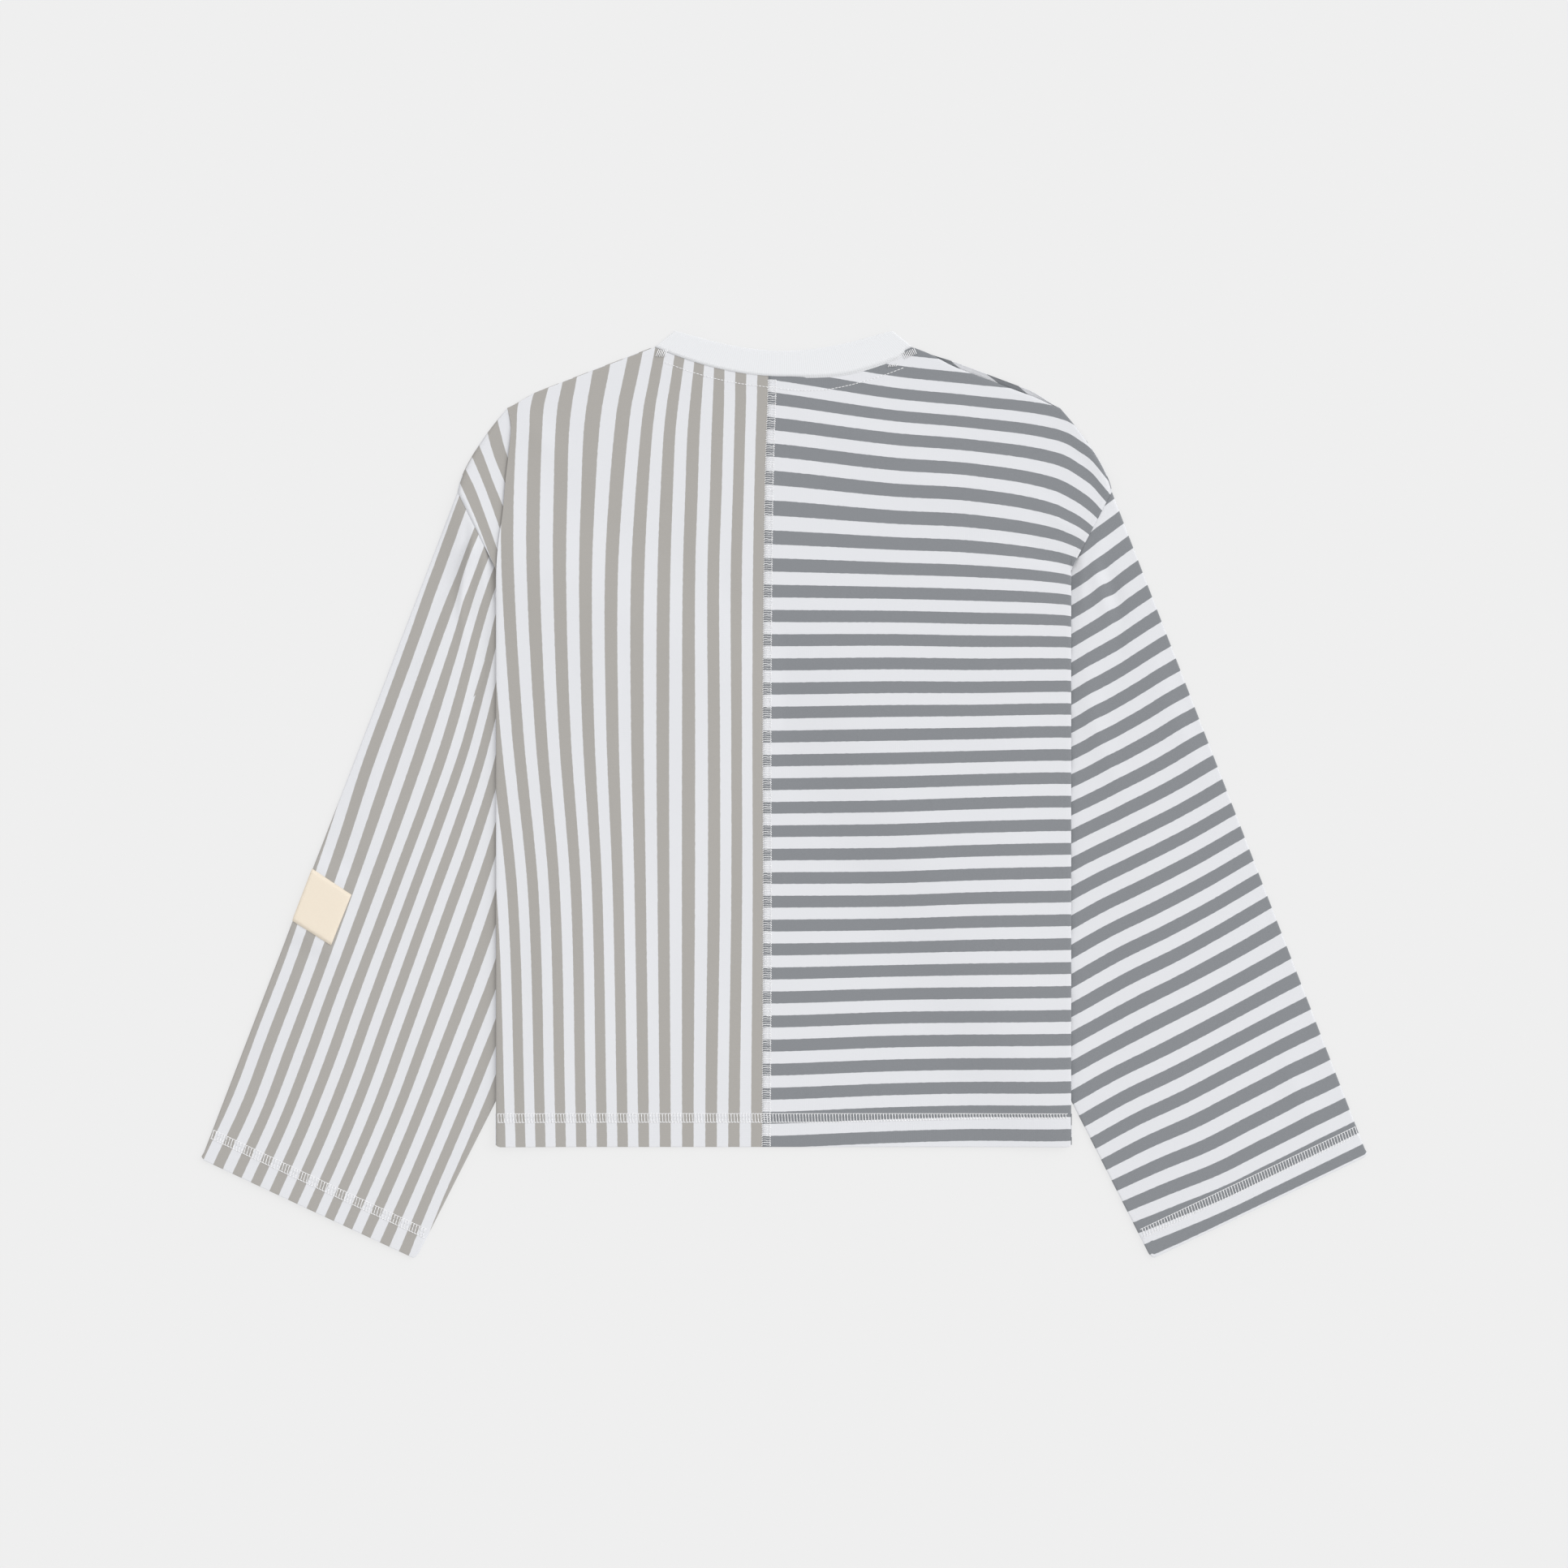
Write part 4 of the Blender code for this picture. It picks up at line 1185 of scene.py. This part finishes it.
class ShirtSettings(bpy.types.PropertyGroup):
    """Sizes and colours of the shirt's cloth and sewing."""

    grid_step: bpy.props.FloatProperty(
        name="Cloth Step", description="Distance between the cloth's grid points",
        default=0.0030, min=0.001, unit="LENGTH")
    sleeve_step: bpy.props.FloatProperty(
        name="Sleeve Step", description="Distance between the sleeves' grid lines",
        default=0.0023, min=0.001, unit="LENGTH")
    jersey_thickness: bpy.props.FloatProperty(
        name="Jersey", description="Thickness of one layer of jersey", default=0.00045, unit="LENGTH")
    hem_depth: bpy.props.FloatProperty(
        name="Hem Depth", description="How far hem and cuffs are turned up", default=0.028, unit="LENGTH")
    tuck_depth: bpy.props.FloatProperty(
        name="Tuck Depth", description="Cloth hidden in the left armhole's tuck",
        default=0.012, unit="LENGTH")
    stitch_pitch: bpy.props.FloatProperty(
        name="Stitch Pitch", description="Distance between crossing threads", default=0.0025, unit="LENGTH")
    thread_radius: bpy.props.FloatProperty(
        name="Thread Radius", description="Half the sewing thread's thickness",
        default=0.00034, unit="LENGTH")
    wale_width: bpy.props.FloatProperty(
        name="Wale Width", description="Width of one column of knit", default=0.0011, unit="LENGTH")
    course_height: bpy.props.FloatProperty(
        name="Course Height", description="Height of one row of knit", default=0.0009, unit="LENGTH")
    rib_pitch: bpy.props.FloatProperty(
        name="Rib Pitch", description="Distance between the neckband's ribs", default=0.0019, unit="LENGTH")
    knit_strength: bpy.props.FloatProperty(
        name="Knit Strength", description="Depth of the knit in the jersey's look",
        default=0.22, min=0, max=1, subtype="FACTOR")
    cloth_white: bpy.props.FloatVectorProperty(
        name="White Cloth", description="Ground of the jersey", subtype="COLOR",
        default=(0.712, 0.72, 0.747), min=0, max=1)
    fibre_shade: bpy.props.FloatVectorProperty(
        name="Fibre Shade", description="Shade between white fibres", subtype="COLOR",
        default=(0.55, 0.56, 0.585), min=0, max=1)
    stripe_beige: bpy.props.FloatVectorProperty(
        name="Beige Stripe", description="Stripes of the left half", subtype="COLOR",
        default=(0.352, 0.334, 0.308), min=0, max=1)
    stripe_grey: bpy.props.FloatVectorProperty(
        name="Grey Stripe", description="Stripes of the right half", subtype="COLOR",
        default=(0.182, 0.193, 0.208), min=0, max=1)
    rib_white: bpy.props.FloatVectorProperty(
        name="Rib White", description="Neckband", subtype="COLOR",
        default=(0.766, 0.775, 0.793), min=0, max=1)
    thread_white: bpy.props.FloatVectorProperty(
        name="Thread White", description="Sewing thread", subtype="COLOR",
        default=(0.93, 0.93, 0.94), min=0, max=1)
    label_cream: bpy.props.FloatVectorProperty(
        name="Label Cream", description="Patch on the left sleeve", subtype="COLOR",
        default=(0.825, 0.737, 0.612), min=0, max=1)
    label_shade: bpy.props.FloatVectorProperty(
        name="Label Shade", description="Darker yarns of the patch", subtype="COLOR",
        default=(0.745, 0.655, 0.535), min=0, max=1)
    floor_colour: bpy.props.FloatVectorProperty(
        name="Floor", description="Surface that the shirt lies on", subtype="COLOR",
        default=(0.786, 0.786, 0.786), min=0, max=1)


class SHIRT_OT_back(bpy.types.Operator):
    """Lays both halves of the back, with the tuck at the left armhole"""

    bl_idname = "shirt.make_back"
    bl_label = "Back Panels"

    def execute(self, context):
        settings = context.scene.shirt_settings
        for side, name in SIDE_NAMES.items():
            cloth = panel_cloth(side, False, settings)
            piece = finish_piece(f"back_{name}_cloth", cloth, striped(side, settings),
                                 [f"back_{name}"])
            thicken(piece, settings.jersey_thickness)
        return {"FINISHED"}


class SHIRT_OT_front(bpy.types.Operator):
    """Lays both halves of the front, under the back"""

    bl_idname = "shirt.make_front"
    bl_label = "Front Panels"

    def execute(self, context):
        settings = context.scene.shirt_settings
        for side, name in SIDE_NAMES.items():
            cloth = panel_cloth(side, True, settings)
            piece = finish_piece(f"front_{name}_cloth", cloth, striped(side, settings),
                                 [f"front_{name}"])
            thicken(piece, settings.jersey_thickness)
        return {"FINISHED"}


class SHIRT_OT_sleeves(bpy.types.Operator):
    """Lays both sleeves as flattened tubes"""

    bl_idname = "shirt.make_sleeves"
    bl_label = "Sleeves"

    def execute(self, context):
        settings = context.scene.shirt_settings
        for side, name in SIDE_NAMES.items():
            cloth = sleeve_cloth(side, settings)
            piece = finish_piece(f"sleeve_{name}_cloth", cloth, striped(side, settings),
                                 [f"sleeve_{name}"])
            thicken(piece, settings.jersey_thickness)
        return {"FINISHED"}


class SHIRT_OT_neckband(bpy.types.Operator):
    """Makes the ribbed neckband as a flattened ring"""

    bl_idname = "shirt.make_neckband"
    bl_label = "Neckband"

    def execute(self, context):
        settings = context.scene.shirt_settings
        cloth = neckband_cloth()
        rib = look("white_rib_knit", lambda: rib_knit(settings))
        piece = finish_piece("neck_rib_knit", cloth, rib, ["neck_rib"])
        thicken(piece, settings.jersey_thickness)
        return {"FINISHED"}


class SHIRT_OT_label(bpy.types.Operator):
    """Folds the bare cream patch round the left sleeve's outer edge"""

    bl_idname = "shirt.make_label"
    bl_label = "Sleeve Label"

    def execute(self, context):
        settings = context.scene.shirt_settings
        patch = label_cloth()
        weave = look("cream_woven_label", lambda: woven_label(settings))
        piece = finish_piece("sleeve_label_patch", patch, weave, ["sleeve_label"])
        thicken(piece, LABEL_WALL * MM)
        return {"FINISHED"}


class SHIRT_OT_stitches(bpy.types.Operator):
    """Sews the hem, the cuffs, the centre seam and the neck"""

    bl_idname = "shirt.make_stitches"
    bl_label = "Stitches"

    def execute(self, context):
        settings = context.scene.shirt_settings
        pitch, radius = settings.stitch_pitch / MM, settings.thread_radius / MM
        thread = look("white_cotton_thread", lambda: cotton_thread(settings))
        for is_front, name in ((False, "hem_stitches_back"), (True, "hem_stitches_front")):
            threads = bmesh.new()
            low, high = (hem_line(is_front, row) for row in (0, 1))
            ladder(threads, low, high, pitch, radius)
            finish_piece(name, threads, thread)
        for side, name in SIDE_NAMES.items():
            threads = bmesh.new()
            for is_under in (False, True):
                low, high = (cuff_line(side, up, is_under) for up in CUFF_STITCHES_UP)
                ladder(threads, low, high, pitch, radius)
            finish_piece(f"cuff_stitches_{name}", threads, thread)
        finish_piece("centre_seam_stitches", centre_stitches(settings), thread)
        finish_piece("neck_stitches", neck_stitches(settings), thread)
        return {"FINISHED"}


class SHIRT_OT_studio(bpy.types.Operator):
    """Sets up the pale floor, the soft lights and the camera straight above"""

    bl_idname = "shirt.make_studio"
    bl_label = "Studio"

    def execute(self, context):
        settings = context.scene.shirt_settings
        make_floor(settings)
        make_lights()
        make_camera()
        return {"FINISHED"}


OPERATORS = (
    SHIRT_OT_sleeves, SHIRT_OT_front, SHIRT_OT_back, SHIRT_OT_neckband,
    SHIRT_OT_label, SHIRT_OT_stitches, SHIRT_OT_studio,
)


class SHIRT_PT_panel(bpy.types.Panel):
    """Lists the shirt's pieces in the order in which they are laid"""

    bl_label = "Striped Shirt"
    bl_idname = "SHIRT_PT_panel"
    bl_space_type = "VIEW_3D"
    bl_region_type = "UI"
    bl_category = "Shirt"

    def draw(self, context):
        for operator in OPERATORS:
            self.layout.operator(operator.bl_idname)
        for name in ShirtSettings.__annotations__:
            self.layout.prop(context.scene.shirt_settings, name)


CLASSES = (ShirtSettings, *OPERATORS, SHIRT_PT_panel)


def register():
    for made in CLASSES:
        bpy.utils.register_class(made)
    bpy.types.Scene.shirt_settings = bpy.props.PointerProperty(type=ShirtSettings)


def unregister():
    del bpy.types.Scene.shirt_settings
    for made in reversed(CLASSES):
        bpy.utils.unregister_class(made)


def main():
    register()
    bpy.ops.shirt.make_sleeves()
    bpy.ops.shirt.make_front()
    bpy.ops.shirt.make_back()
    bpy.ops.shirt.make_neckband()
    bpy.ops.shirt.make_label()
    bpy.ops.shirt.make_stitches()
    bpy.ops.shirt.make_studio()


if __name__ == "__main__":
    main()
